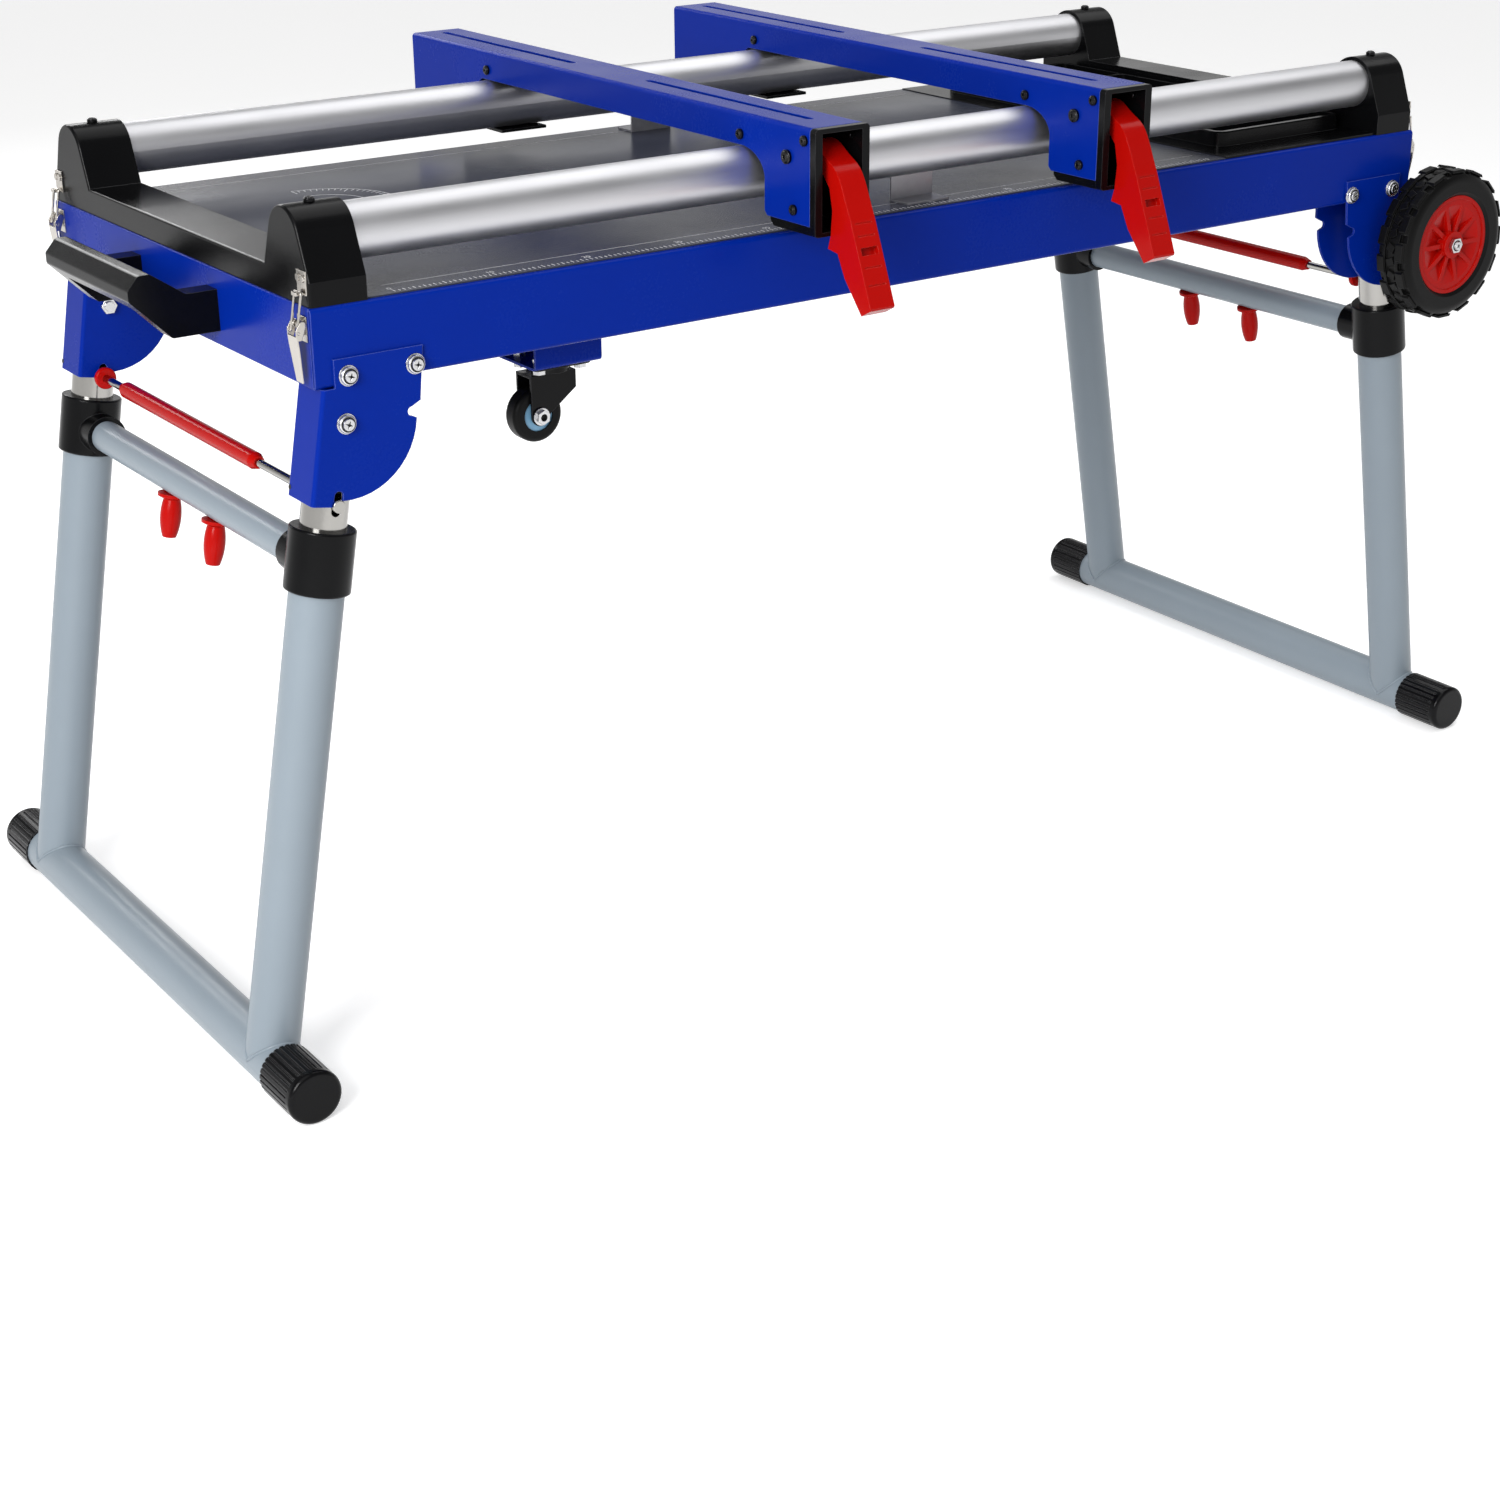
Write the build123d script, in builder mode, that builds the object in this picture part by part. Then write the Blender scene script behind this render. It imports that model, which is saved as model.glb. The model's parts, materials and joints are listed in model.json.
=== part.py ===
from build123d import *
import math
import os

# Folding miter saw stand: a steel table on two folding legs, with two saw mounts that
# slide on a pair of aluminium rails. Millimetres. +X runs along the table to the wheels,
# +Y points away from the operator, +Z up. The origin is on the floor, under the middle
# of the table.

# Table
table_length = 1364.0
table_width = 560.0
apron_height = 70.0
apron_sheet = 2.0
apron_bend = 4.0
apron_lip = 44.0
deck_sheet = 1.6
deck_margin = 6.0
stiffener_width = 40.0
stiffener_depth = 22.0
stiffener_place = 205.0

# Clearances and the one overrun of the cuts
cut_extra = 2.0
seat_gap = 0.1
slide_gap = 0.05
rest_gap = 0.3
hole_gap = 0.3

# Legs: the distance s runs down each leg from its pivot
splay = 10.5
leg_length = 608.0
pivot_drop = 32.0
pivot_inset = 25.0
inner_tube_od = 42.0
outer_tube_od = 50.0
tube_wall = 2.0
inner_tube_top = 7.0
inner_tube_end = 420.0
swage_length = 20.0
lock_pitch = 65.0
lock_steps = 3

# Collars, crossbar and its lock knobs
collar_top = 97.0
collar_end = 155.0
collar_od = 60.0
collar_guide = 21.0
collar_edge = 2.0
crossbar_s = 130.0
crossbar_od = 32.0
socket_od = 41.0
socket_reach = 45.0
socket_depth = 16.0
lock_pin_od = 7.0
lock_rod_od = 8.0
lock_seated = 9.0
lock_pulled = 7.0
pin_clearance = 0.6
knob_y = 50.0
knob_od = 20.5
knob_neck_od = 16.5
knob_tip_od = 13.5
knob_flange_od = 28.0
knob_flange = 3.0
knob_end = 190.0
knob_belly_share = 0.55
knob_shoulder = 3.0

# Foot bar and caps
foot_cap_od = 54.0
foot_cap_place = 5.3
foot_cap_length = 62.0
foot_cap_wall = 4.0
foot_flutes = 28
foot_flute_depth = 1.3
foot_flute_end = 9.0
foot_edge = 5.0

# Release rod that locks the fold
rod_od = 8.0
rod_chamfer = 1.0
rod_seated_s = 64.0
rod_pulled = 6.0
rod_head_od = 12.0
rod_head = 3.0
grip_od = 16.5
grip_length = 307.0
grip_end = 8.0
grip_taper = 2.5
left_grip_shift = 26.5
disc_od = 22.0
disc_edge = 1.5
disc_thickness = 6.0
disc_inset = 4.0

# Leg brackets: points are measured from the pivot, outward and upward
bracket_sheet = 2.5
bracket_rim = 68.5
bracket_lip = 74.0
bracket_web = 22.5
bracket_bend = 3.5
bracket_top = 57.0
bracket_outer_edge = 8.0
bracket_inner_edge = 78.0
bracket_step = 73.0
bracket_step_rise = 10.8
bracket_corner = 4.0
lug_root_share = 0.7
pivot_bolt_od = 10.0
bracket_bolt_od = 8.0
bracket_bolt_in = 5.0
bracket_bolt_rise = 41.5
bracket_bolt_pitch = 64.5
bolt_head_od = 16.5
bolt_head = 4.5
bolt_head_edge = 2.0
bolt_nut_od = 14.0
pivot_nut_od = 16.8
bolt_nut = 5.0
bolt_end = 2.0

# Transport wheels
axle_out = 18.0
axle_drop = 121.0
tyre_od = 164.0
tyre_width = 44.0
tyre_shoulder = 12.0
tyre_shoulder_cut = 3.6
tyre_channel = 14.0
tyre_channel_depth = 2.5
tyre_lugs = 16
lug_gap = 9.0
lug_depth = 4.0
lug_reach = 11.0
rim_od = 110.0
rim_wall = 4.0
rim_inset = 3.0
rim_lip = 1.5
rim_face = 10.0
rim_pocket = 7.5
hub_od = 30.0
hub_inset = 1.0
wheel_gap = 13.5
axle_od = 10.0
axle_lug = 14.0
axle_spacer_od = 20.0
axle_head_od = 18.0
axle_nut_od = 14.4
spokes = 10
spoke_width = 5.0
spoke_share = 0.8

# Bridges that carry the rails, and the rails
bridge_inset = 2.0
bridge_width = 54.0
bridge_bar = 24.0
bridge_base = 43.0
bridge_base_height = 21.0
bridge_wall = 4.0
bridge_edge = 2.5
tower_radius = 29.0
rail_od = 50.0
rail_wall = 2.5
rail_inset = 46.0
rail_rise = 51.0
rail_screw_depth = 5.0

# Rail rests
rest_width = 52.0
rest_sheet = 2.0
rest_foot = 26.0

# Saw mounts
mount_x = 176.0
mount_width = 62.0
mount_wall = 3.0
mount_top = 107.0
mount_back_over = 164.0
mount_front_over = 108.0
mount_skirt = 77.0
mount_back_drop = 45.0
mount_front_drop = 18.0
mount_arch = 29.0
mount_arch_front = 38.0
mount_bend = 4.0
mount_slot_width = 8.5
mount_slot_length = 274.0
mount_back_slot_in = 154.0
mount_front_slot_in = 175.0

# Black front housing and back hook inside each saw mount
housing_back_in = 19.0
housing_lip = 8.0
housing_below = 9.0
housing_wall = 5.0
housing_floor = 4.0
housing_roof = 1.4
hook_end_over = 66.0
hook_front_in = 20.0
hook_lip = 3.0
block_fit = 0.2
groove_width = 22.0
groove_floor = 84.0

# Clamp lever
lever_pivot_over = 74.0
lever_pivot_rise = 77.0
lever_width = 28.0
lever_hub_od = 24.0
lever_pin_od = 8.0
lever_size = 100.0
lever_ridge_shares = (
    (0.0, 0.12),
    (0.2, 0.11),
    (0.33, 0.03),
    (0.48, -0.055),
    (0.61, -0.24),
    (0.73, -0.49),
)
lever_tip_share = (1.045, -1.255)
lever_back_shares = (
    (0.905, -1.33),
    (0.65, -1.03),
    (0.56, -0.86),
    (0.54, -0.82),
    (0.395, -0.8),
    (0.435, -0.67),
)
lever_throat_shares = ((0.455, -0.44), (0.41, -0.24), (0.28, -0.1), (0.0, -0.12))
lever_edge = 1.5
lever_slot_height = 7.0
lever_slot_width = 19.0
lever_slot_depth = 6.0
lever_slot_share = 0.35
lever_groove_shares = (0.04, 0.18, 0.53, 0.73)
lever_groove = 1.2
lever_groove_depth = 0.6

# Screws of the saw mounts: place of each, from the table's centre line and top
mount_screw_od = 5.0
mount_screw_head_od = 10.0
mount_screw_head = 3.0
mount_screw_grip = 12.0
mount_screw_edge = 1.0
mount_screw_top_drop = 20.0
mount_screw_front_in = 8.0
mount_screw_low_in = 24.0
mount_screw_high_drop = 12.0
mount_screw_low_rise = 12.0
lever_pin_head_od = 13.0

# Tool tray
tray_start = 395.0
tray_wall_start = 427.0
tray_inset = 48.0
tray_rise = 18.0
tray_depth = 34.0
tray_flange = 2.5
tray_wall = 3.5
tray_corner = 16.0
tray_draft = 3.0
tray_lip = 6.0
pocket_corner = 8.0

# Casters
caster_x = 385.0
caster_y = 170.0
caster_mount_length = 73.0
caster_mount_width = 70.0
caster_mount_drop = 113.0
caster_mount_sheet = 2.5
caster_mount_bend = 5.0
caster_plate_length = 62.0
caster_plate_width = 52.0
caster_plate_sheet = 3.0
caster_height = 76.5
caster_wheel_od = 53.0
caster_wheel_width = 20.0
caster_wheel_edge = 5.0
caster_trail = 20.0
caster_core_od = 31.0
caster_core_inset = 2.0
caster_fork_sheet = 2.5
caster_fork_gap = 1.2
caster_fork_lead = 20.0
caster_fork_lead_drop = 17.0
caster_fork_tail = 9.5
caster_race_od = 36.0
caster_race = 7.0
caster_race_edge = 2.5
caster_post_od = 12.0
caster_axle_od = 6.0
caster_nut_od = 12.0
caster_nut = 3.0
caster_bolt_od = 6.0
caster_bolt_head_od = 13.0
caster_bolt_x = 22.5
caster_bolt_y = 17.5
hex_head = 4.5
hex_sides = 6

# Pull handle: points are measured outward from the end panel and from the table top
handle_half_width = 95.0
handle_arm = 22.0
handle_root_top = 18.0
handle_root_bottom = 56.0
handle_elbow = 30.0
handle_reach = 84.0
handle_top = 4.0
handle_grip = 32.0
handle_edge = 4.0
handle_back = 62.0
handle_front = 73.0
handle_front_drop = 8.0
handle_heel = 46.0

# Latches between bridges and end panels: points are measured outward from the end panel
# and from the table top
latch_inset = 14.0
latch_half_width = 8.6
latch_tip_half_width = 5.5
latch_sheet = 1.5
latch_cheek = 1.1
latch_pivot_out = 5.0
latch_pivot_drop = 14.0
latch_pin_od = 2.4
latch_ear = 3.5
latch_cheek_share = 0.7
latch_ear_inner = 2.5
latch_ear_sheet = 1.5
latch_base_half_width = 8.0
latch_base_top = 7.0
latch_base_bottom = 29.0
latch_plate_top = 23.0
latch_plate_out = 10.0
latch_tip_drop = 64.0
latch_tip_out = 6.0
bail_wire = 2.4
bail_pivot_out = 9.0
bail_pivot_drop = 20.0
bail_top_out = 3.0
bail_half_width = 6.0
bail_corner = 1.6
keeper_top = 31.0
keeper_bottom = 10.5
keeper_sheet = 1.5
keeper_hook_half_width = 4.2
keeper_hook_out = 7.2
keeper_lip = 1.6
rivet_od = 6.5
rivet_place = 4.2
rivet_rise = 24.5
rivet_head = 1.6

# Places that follow from the sizes above
lean = math.radians(splay)
pivot_z = foot_cap_od / 2 + leg_length * math.cos(lean)
apron_bottom = pivot_z + pivot_drop
table_top = apron_bottom + apron_height
end_x = table_length / 2
side_y = table_width / 2
pivot_x = end_x - pivot_inset
rail_y = side_y - rail_inset
mount_reach = rail_y + mount_back_over
mount_front = rail_y + mount_front_over
mount_back_slot_y = mount_reach - mount_back_slot_in
mount_front_slot_y = mount_front_slot_in - mount_front
housing_back = rail_y - housing_back_in
hook_end = rail_y + hook_end_over
hook_front = rail_y - hook_front_in
lever_pivot_y = rail_y + lever_pivot_over
tray_half_width = side_y - tray_inset
latch_y = side_y - latch_inset
tube_y = side_y - inner_tube_od / 2 - hole_gap
foot_cap_start = tube_y + outer_tube_od / 2 + foot_cap_place
foot_cap_end = foot_cap_start + foot_cap_length
inner_plate_y = tube_y - inner_tube_od / 2 - hole_gap - bracket_sheet
rail_z = table_top + rail_rise
bridge_outer_x = end_x - bridge_inset
bridge_inner_x = bridge_outer_x - bridge_width
deck_half_width = side_y - deck_margin
axle_x = end_x + axle_out
axle_z = table_top - axle_drop
rod_rest = bracket_rim + rod_od / 2 + rest_gap - rod_seated_s
rod_s = rod_seated_s + rod_rest
notch_width = rod_od + 2 * hole_gap
leg_angle = splay - 90
caster_mount_z = table_top - caster_mount_drop
caster_axle_z = caster_mount_z - caster_height + caster_wheel_od / 2


def on_leg(s, out=0.0):
    """X and Z of the point s down the right leg and out from its axis."""
    x = pivot_x + s * math.sin(lean) + out * math.cos(lean)
    z = pivot_z - s * math.cos(lean) + out * math.sin(lean)
    return (x, z)


def leg_plane(s):
    """Plane square to the right leg, with local X along Y and local Y outward."""
    x, z = on_leg(s)
    return Plane(origin=(x, 0, z), x_dir=(0, 1, 0), z_dir=(math.sin(lean), 0, -math.cos(lean)))


def mirrored(source, plane):
    """A copy of a finished piece on the other side of the plane."""
    with BuildPart() as copy:
        add(source.part)
        mirror(about=plane, mode=Mode.REPLACE)
    return copy


def with_mirror(source, plane):
    """A piece together with its copy on the other side of the plane."""
    with BuildPart() as pair:
        add(source.part)
        mirror(about=plane)
    return pair


def bracket_bolts():
    """X and Z of the two bolts that hold a right leg bracket to its apron."""
    z = pivot_z + bracket_bolt_rise
    near = pivot_x - bracket_bolt_in
    return [(near, z), (near - bracket_bolt_pitch, z)]


pieces = {}

# Front and back aprons: long channels, open towards the middle of the table. The lips
# stop short of the ends, where the end panels close the table.
with BuildPart() as front_apron:
    with BuildSketch(Plane.YZ.offset(-end_x)):
        with BuildLine():
            Polyline(
                (-side_y, apron_bottom),
                (-side_y + apron_lip, apron_bottom),
                (-side_y + apron_lip, apron_bottom + apron_sheet),
                (-side_y + apron_sheet, apron_bottom + apron_sheet),
                (-side_y + apron_sheet, table_top - apron_sheet),
                (-side_y + apron_lip, table_top - apron_sheet),
                (-side_y + apron_lip, table_top),
                (-side_y, table_top),
                close=True,
            )
        make_face()
    extrude(amount=table_length)
    outer_bends = front_apron.edges().filter_by(Axis.X).group_by(Axis.Y)[0]
    fillet(outer_bends, apron_bend)
    with BuildSketch(Plane.XY.offset(apron_bottom - cut_extra)):
        notch_depth = apron_sheet + hole_gap
        with Locations((end_x, -side_y / 2), (-end_x, -side_y / 2)):
            Rectangle(2 * notch_depth, side_y - 2 * apron_bend)
    extrude(amount=apron_height + 2 * cut_extra, mode=Mode.SUBTRACT)
    with BuildSketch(Plane.XZ.offset(side_y + cut_extra)):
        for x, z in bracket_bolts():
            with Locations((x, z), (-x, z)):
                Circle(bracket_bolt_od / 2 + seat_gap)
    extrude(amount=-apron_sheet - 2 * cut_extra, mode=Mode.SUBTRACT)

back_apron = mirrored(front_apron, Plane.XZ)
pieces["front_apron"] = front_apron
pieces["back_apron"] = back_apron

# End panels: shallow trays between the aprons
panel_half = side_y - apron_bend - hole_gap
lip_half = side_y - apron_lip - hole_gap
with BuildPart() as right_end_panel:
    with BuildSketch(Plane.YZ.offset(end_x - apron_sheet)):
        with Locations((0, table_top - apron_height / 2)):
            Rectangle(2 * panel_half, apron_height)
    extrude(amount=apron_sheet)
    for lip_z in (apron_bottom, table_top - apron_sheet):
        with BuildSketch(Plane.XY.offset(lip_z)):
            with Locations((end_x - apron_lip / 2, 0)):
                Rectangle(apron_lip, 2 * lip_half)
        extrude(amount=apron_sheet)
    fillet(right_end_panel.edges().filter_by(Axis.Y).group_by(Axis.X)[-1], apron_sheet / 2)

left_end_panel = mirrored(right_end_panel, Plane.YZ)
pieces["left_end_panel"] = left_end_panel
pieces["right_end_panel"] = right_end_panel

# Deck panel on the aprons' lips, with two channel stiffeners under it
deck_left = -bridge_inner_x + rest_gap
deck_right = tray_start - rest_gap
with BuildPart() as deck_panel:
    with BuildSketch(Plane.XY.offset(table_top)):
        with Locations(((deck_left + deck_right) / 2, 0)):
            Rectangle(deck_right - deck_left, 2 * deck_half_width)
    extrude(amount=deck_sheet)
    for side in (-1, 1):
        with BuildSketch(Plane.XZ.offset(-lip_half)):
            with Locations((side * stiffener_place, table_top - stiffener_depth / 2)):
                Rectangle(stiffener_width, stiffener_depth)
            with Locations((side * stiffener_place, table_top - (stiffener_depth - deck_sheet) / 2)):
                inside = stiffener_width - 2 * deck_sheet
                Rectangle(inside, stiffener_depth - deck_sheet, mode=Mode.SUBTRACT)
        extrude(amount=2 * lip_half)
pieces["deck_panel"] = deck_panel

# Tool tray: one moulding with a raised, rounded wall and three pockets
tray_wall_end = bridge_inner_x - rest_gap - tray_flange * 2
tray_length = tray_wall_end - tray_wall_start
tray_middle = (tray_wall_end + tray_wall_start) / 2
with BuildPart() as tool_tray:
    with BuildSketch(Plane.XY.offset(table_top)):
        flange_end = bridge_inner_x - rest_gap
        with Locations(((tray_start + flange_end) / 2, 0)):
            Rectangle(flange_end - tray_start, 2 * deck_half_width)
    extrude(amount=tray_flange)
    with BuildSketch(Plane.XY.offset(table_top)):
        with Locations((tray_middle, 0)):
            RectangleRounded(tray_length, 2 * tray_half_width, tray_corner)
    extrude(amount=tray_rise, taper=tray_draft)
    with BuildSketch(Plane.XY.offset(table_top)):
        with Locations((tray_middle, 0)):
            RectangleRounded(tray_length - tray_wall, 2 * tray_half_width - tray_wall, tray_corner)
    extrude(amount=-tray_depth, taper=tray_draft)
    tray_top = table_top + tray_rise
    rim_edges = tool_tray.edges().group_by(Axis.Z)[-1]
    fillet(rim_edges, tray_wall / 2)
    pocket_length = tray_length - 2 * tray_lip
    pocket_span = 2 * (tray_half_width - tray_lip)
    pocket_shares = ((0.0, 0.5), (0.5, 0.27), (0.77, 0.23))
    for start_share, width_share in pocket_shares:
        pocket_width = width_share * pocket_span - tray_wall
        pocket_y = -pocket_span / 2 + (start_share + width_share / 2) * pocket_span
        with BuildSketch(Plane.XY.offset(tray_top)):
            with Locations((tray_middle, pocket_y)):
                RectangleRounded(pocket_length, pocket_width, pocket_corner)
        depth = tray_rise + tray_depth - tray_wall
        extrude(amount=-depth, taper=tray_draft, mode=Mode.SUBTRACT)
pieces["tool_tray"] = tool_tray

# Bridge across each end of the table, with a tower round each rail end
with BuildPart() as right_end_bridge:
    with BuildSketch(Plane.YZ.offset(bridge_inner_x)):
        with Locations((0, table_top + bridge_bar / 2)):
            Rectangle(2 * rail_y, bridge_bar)
        for side in (-1, 1):
            base_top = table_top + bridge_base_height
            corner_y = side * rail_y
            # The straight flanks touch the round top where the line from the base corner is tangent
            rise = rail_rise - bridge_base_height
            span = math.hypot(bridge_base, rise)
            turn = math.acos(tower_radius / span) - math.atan2(rise, bridge_base)
            touch_y = tower_radius * math.cos(turn)
            touch_z = rail_z + tower_radius * math.sin(turn)
            with BuildLine():
                Polyline(
                    (corner_y - touch_y, touch_z),
                    (corner_y - bridge_base, base_top),
                    (corner_y - bridge_base, table_top),
                    (corner_y + bridge_base, table_top),
                    (corner_y + bridge_base, base_top),
                    (corner_y + touch_y, touch_z),
                )
                ThreePointArc(
                    (corner_y + touch_y, touch_z),
                    (corner_y, rail_z + tower_radius),
                    (corner_y - touch_y, touch_z),
                )
            make_face()
    extrude(amount=bridge_width)
    fillet(right_end_bridge.edges().group_by(Axis.X)[-1].filter_by(
        lambda edge: edge.center().Z > table_top + bridge_edge), bridge_edge)
    with BuildSketch(Plane.YZ.offset(bridge_inner_x - cut_extra)):
        with Locations((rail_y, rail_z), (-rail_y, rail_z)):
            Circle(rail_od / 2 + seat_gap)
    extrude(amount=bridge_width - bridge_wall + cut_extra, mode=Mode.SUBTRACT)
    with BuildSketch(Plane.XY.offset(rail_z)):
        screw_x = bridge_inner_x + bridge_width / 2
        with Locations((screw_x, rail_y), (screw_x, -rail_y)):
            Circle(mount_screw_od / 2 + seat_gap)
    extrude(amount=tower_radius + cut_extra, mode=Mode.SUBTRACT)

left_end_bridge = mirrored(right_end_bridge, Plane.YZ)
pieces["left_end_bridge"] = left_end_bridge
pieces["right_end_bridge"] = right_end_bridge

# Rails: two aluminium tubes, held in the bridges by a screw at each end
rail_half_length = bridge_outer_x - bridge_wall - seat_gap
with BuildPart() as front_rail:
    with BuildSketch(Plane.YZ.offset(-rail_half_length)):
        with Locations((-rail_y, rail_z)):
            Circle(rail_od / 2)
            Circle(rail_od / 2 - rail_wall, mode=Mode.SUBTRACT)
    extrude(amount=2 * rail_half_length)
    with BuildSketch(Plane.XY.offset(rail_z)):
        screw_x = bridge_inner_x + bridge_width / 2
        with Locations((screw_x, -rail_y), (-screw_x, -rail_y)):
            Circle(mount_screw_od / 2 + seat_gap)
    extrude(amount=tower_radius, mode=Mode.SUBTRACT)

back_rail = mirrored(front_rail, Plane.XZ)
pieces["front_rail"] = front_rail
pieces["back_rail"] = back_rail

# Screws down through the towers into the rails
with BuildPart() as rail_screws:
    with BuildSketch(Plane.XY.offset(rail_z + rail_od / 2 - rail_screw_depth)):
        screw_x = bridge_inner_x + bridge_width / 2
        with Locations(*[(sx * screw_x, sy * rail_y) for sx in (-1, 1) for sy in (-1, 1)]):
            Circle(mount_screw_od / 2)
    extrude(amount=tower_radius - rail_od / 2 + rail_screw_depth)
    with BuildSketch(Plane.XY.offset(rail_z + tower_radius)):
        with Locations(*[(sx * screw_x, sy * rail_y) for sx in (-1, 1) for sy in (-1, 1)]):
            Circle(mount_screw_head_od / 2)
    extrude(amount=mount_screw_head)
    fillet(rail_screws.edges().group_by(Axis.Z)[-1], mount_screw_edge)
pieces["rail_screws"] = rail_screws

# Bent rests on the deck that hold up the middle of each rail
rest_top = rail_rise - rail_od / 2 - rest_gap
with BuildPart() as front_rest:
    with BuildSketch(Plane.YZ.offset(-rest_width / 2)):
        with BuildLine():
            deck_z = table_top + deck_sheet
            Polyline(
                (-rail_y - rest_foot, deck_z),
                (-rail_y + rest_sheet, deck_z),
                (-rail_y + rest_sheet, table_top + rest_top - rest_sheet),
                (-rail_y + rest_foot, table_top + rest_top - rest_sheet),
                (-rail_y + rest_foot, table_top + rest_top),
                (-rail_y, table_top + rest_top),
                (-rail_y, deck_z + rest_sheet),
                (-rail_y - rest_foot, deck_z + rest_sheet),
                close=True,
            )
        make_face()
    extrude(amount=rest_width)
rail_rests = with_mirror(front_rest, Plane.XZ)
pieces["rail_rests"] = rail_rests


# Saw mount: a steel channel across both rails, slotted along the top
def mount_outline():
    """Side view of the channel: arched over each rail, deep at both ends."""
    skirt = table_top + mount_skirt
    back_low = table_top + mount_back_drop
    front_low = table_top + mount_front_drop
    back_arch_y = rail_y + math.sqrt(mount_arch ** 2 - (rail_z - back_low) ** 2)
    front_y = -rail_y - mount_arch_front
    with BuildLine() as outline:
        Polyline(
            (-mount_front, front_low),
            (-mount_front, table_top + mount_top),
            (mount_reach, table_top + mount_top),
            (mount_reach, back_low),
            (back_arch_y, back_low),
        )
        ThreePointArc(
            (back_arch_y, back_low),
            (rail_y + mount_arch * math.cos(math.pi / 4), rail_z + mount_arch * math.sin(math.pi / 4)),
            (rail_y + math.sqrt(mount_arch ** 2 - (skirt - rail_z) ** 2), skirt),
        )
        Line((rail_y + math.sqrt(mount_arch ** 2 - (skirt - rail_z) ** 2), skirt), (-rail_y, skirt))
        EllipticalCenterArc(
            (-rail_y, rail_z), mount_arch_front, skirt - rail_z, start_angle=90, arc_size=90
        )
        Polyline(
            (front_y, rail_z),
            (front_y, front_low + mount_bend),
            (front_y - mount_bend, front_low),
            (-mount_front, front_low),
        )
    return outline


def mount_screw_places():
    """Y and height above the table top of the four small screws in each side."""
    high = table_top + mount_top
    low = table_top + mount_front_drop
    return [
        (rail_y, high - mount_screw_top_drop),
        (-rail_y, high - mount_screw_top_drop),
        (-mount_front + mount_screw_front_in, high - mount_screw_high_drop),
        (-mount_front + mount_screw_low_in, low + mount_screw_low_rise),
    ]


inner_half = mount_width / 2 - mount_wall
with BuildPart() as right_mount_bar:
    with BuildSketch(Plane.YZ.offset(mount_x - mount_width / 2)):
        add(mount_outline().line)
        make_face()
    extrude(amount=mount_width)
    fillet(right_mount_bar.edges().filter_by(Axis.Y).group_by(Axis.Z)[-1], mount_bend)
    with BuildSketch(Plane.XZ.offset(-mount_reach - cut_extra)):
        inside_height = mount_top - mount_wall
        with Locations((mount_x, table_top + inside_height / 2)):
            Rectangle(2 * inner_half, inside_height)
    extrude(amount=mount_reach + mount_front + 2 * cut_extra, mode=Mode.SUBTRACT)
    with BuildSketch(Plane.XY.offset(table_top + mount_skirt)):
        with Locations((mount_x, mount_back_slot_y), (mount_x, mount_front_slot_y)):
            SlotOverall(mount_slot_length, mount_slot_width, rotation=90)
    extrude(amount=mount_top, mode=Mode.SUBTRACT)
    with BuildSketch(Plane.YZ.offset(mount_x - mount_width / 2 - cut_extra)):
        with Locations(*mount_screw_places()):
            Circle(mount_screw_od / 2 + seat_gap)
        with Locations((-lever_pivot_y, table_top + lever_pivot_rise)):
            Circle(lever_pin_od / 2 + seat_gap)
    extrude(amount=mount_width + 2 * cut_extra, mode=Mode.SUBTRACT)

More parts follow.
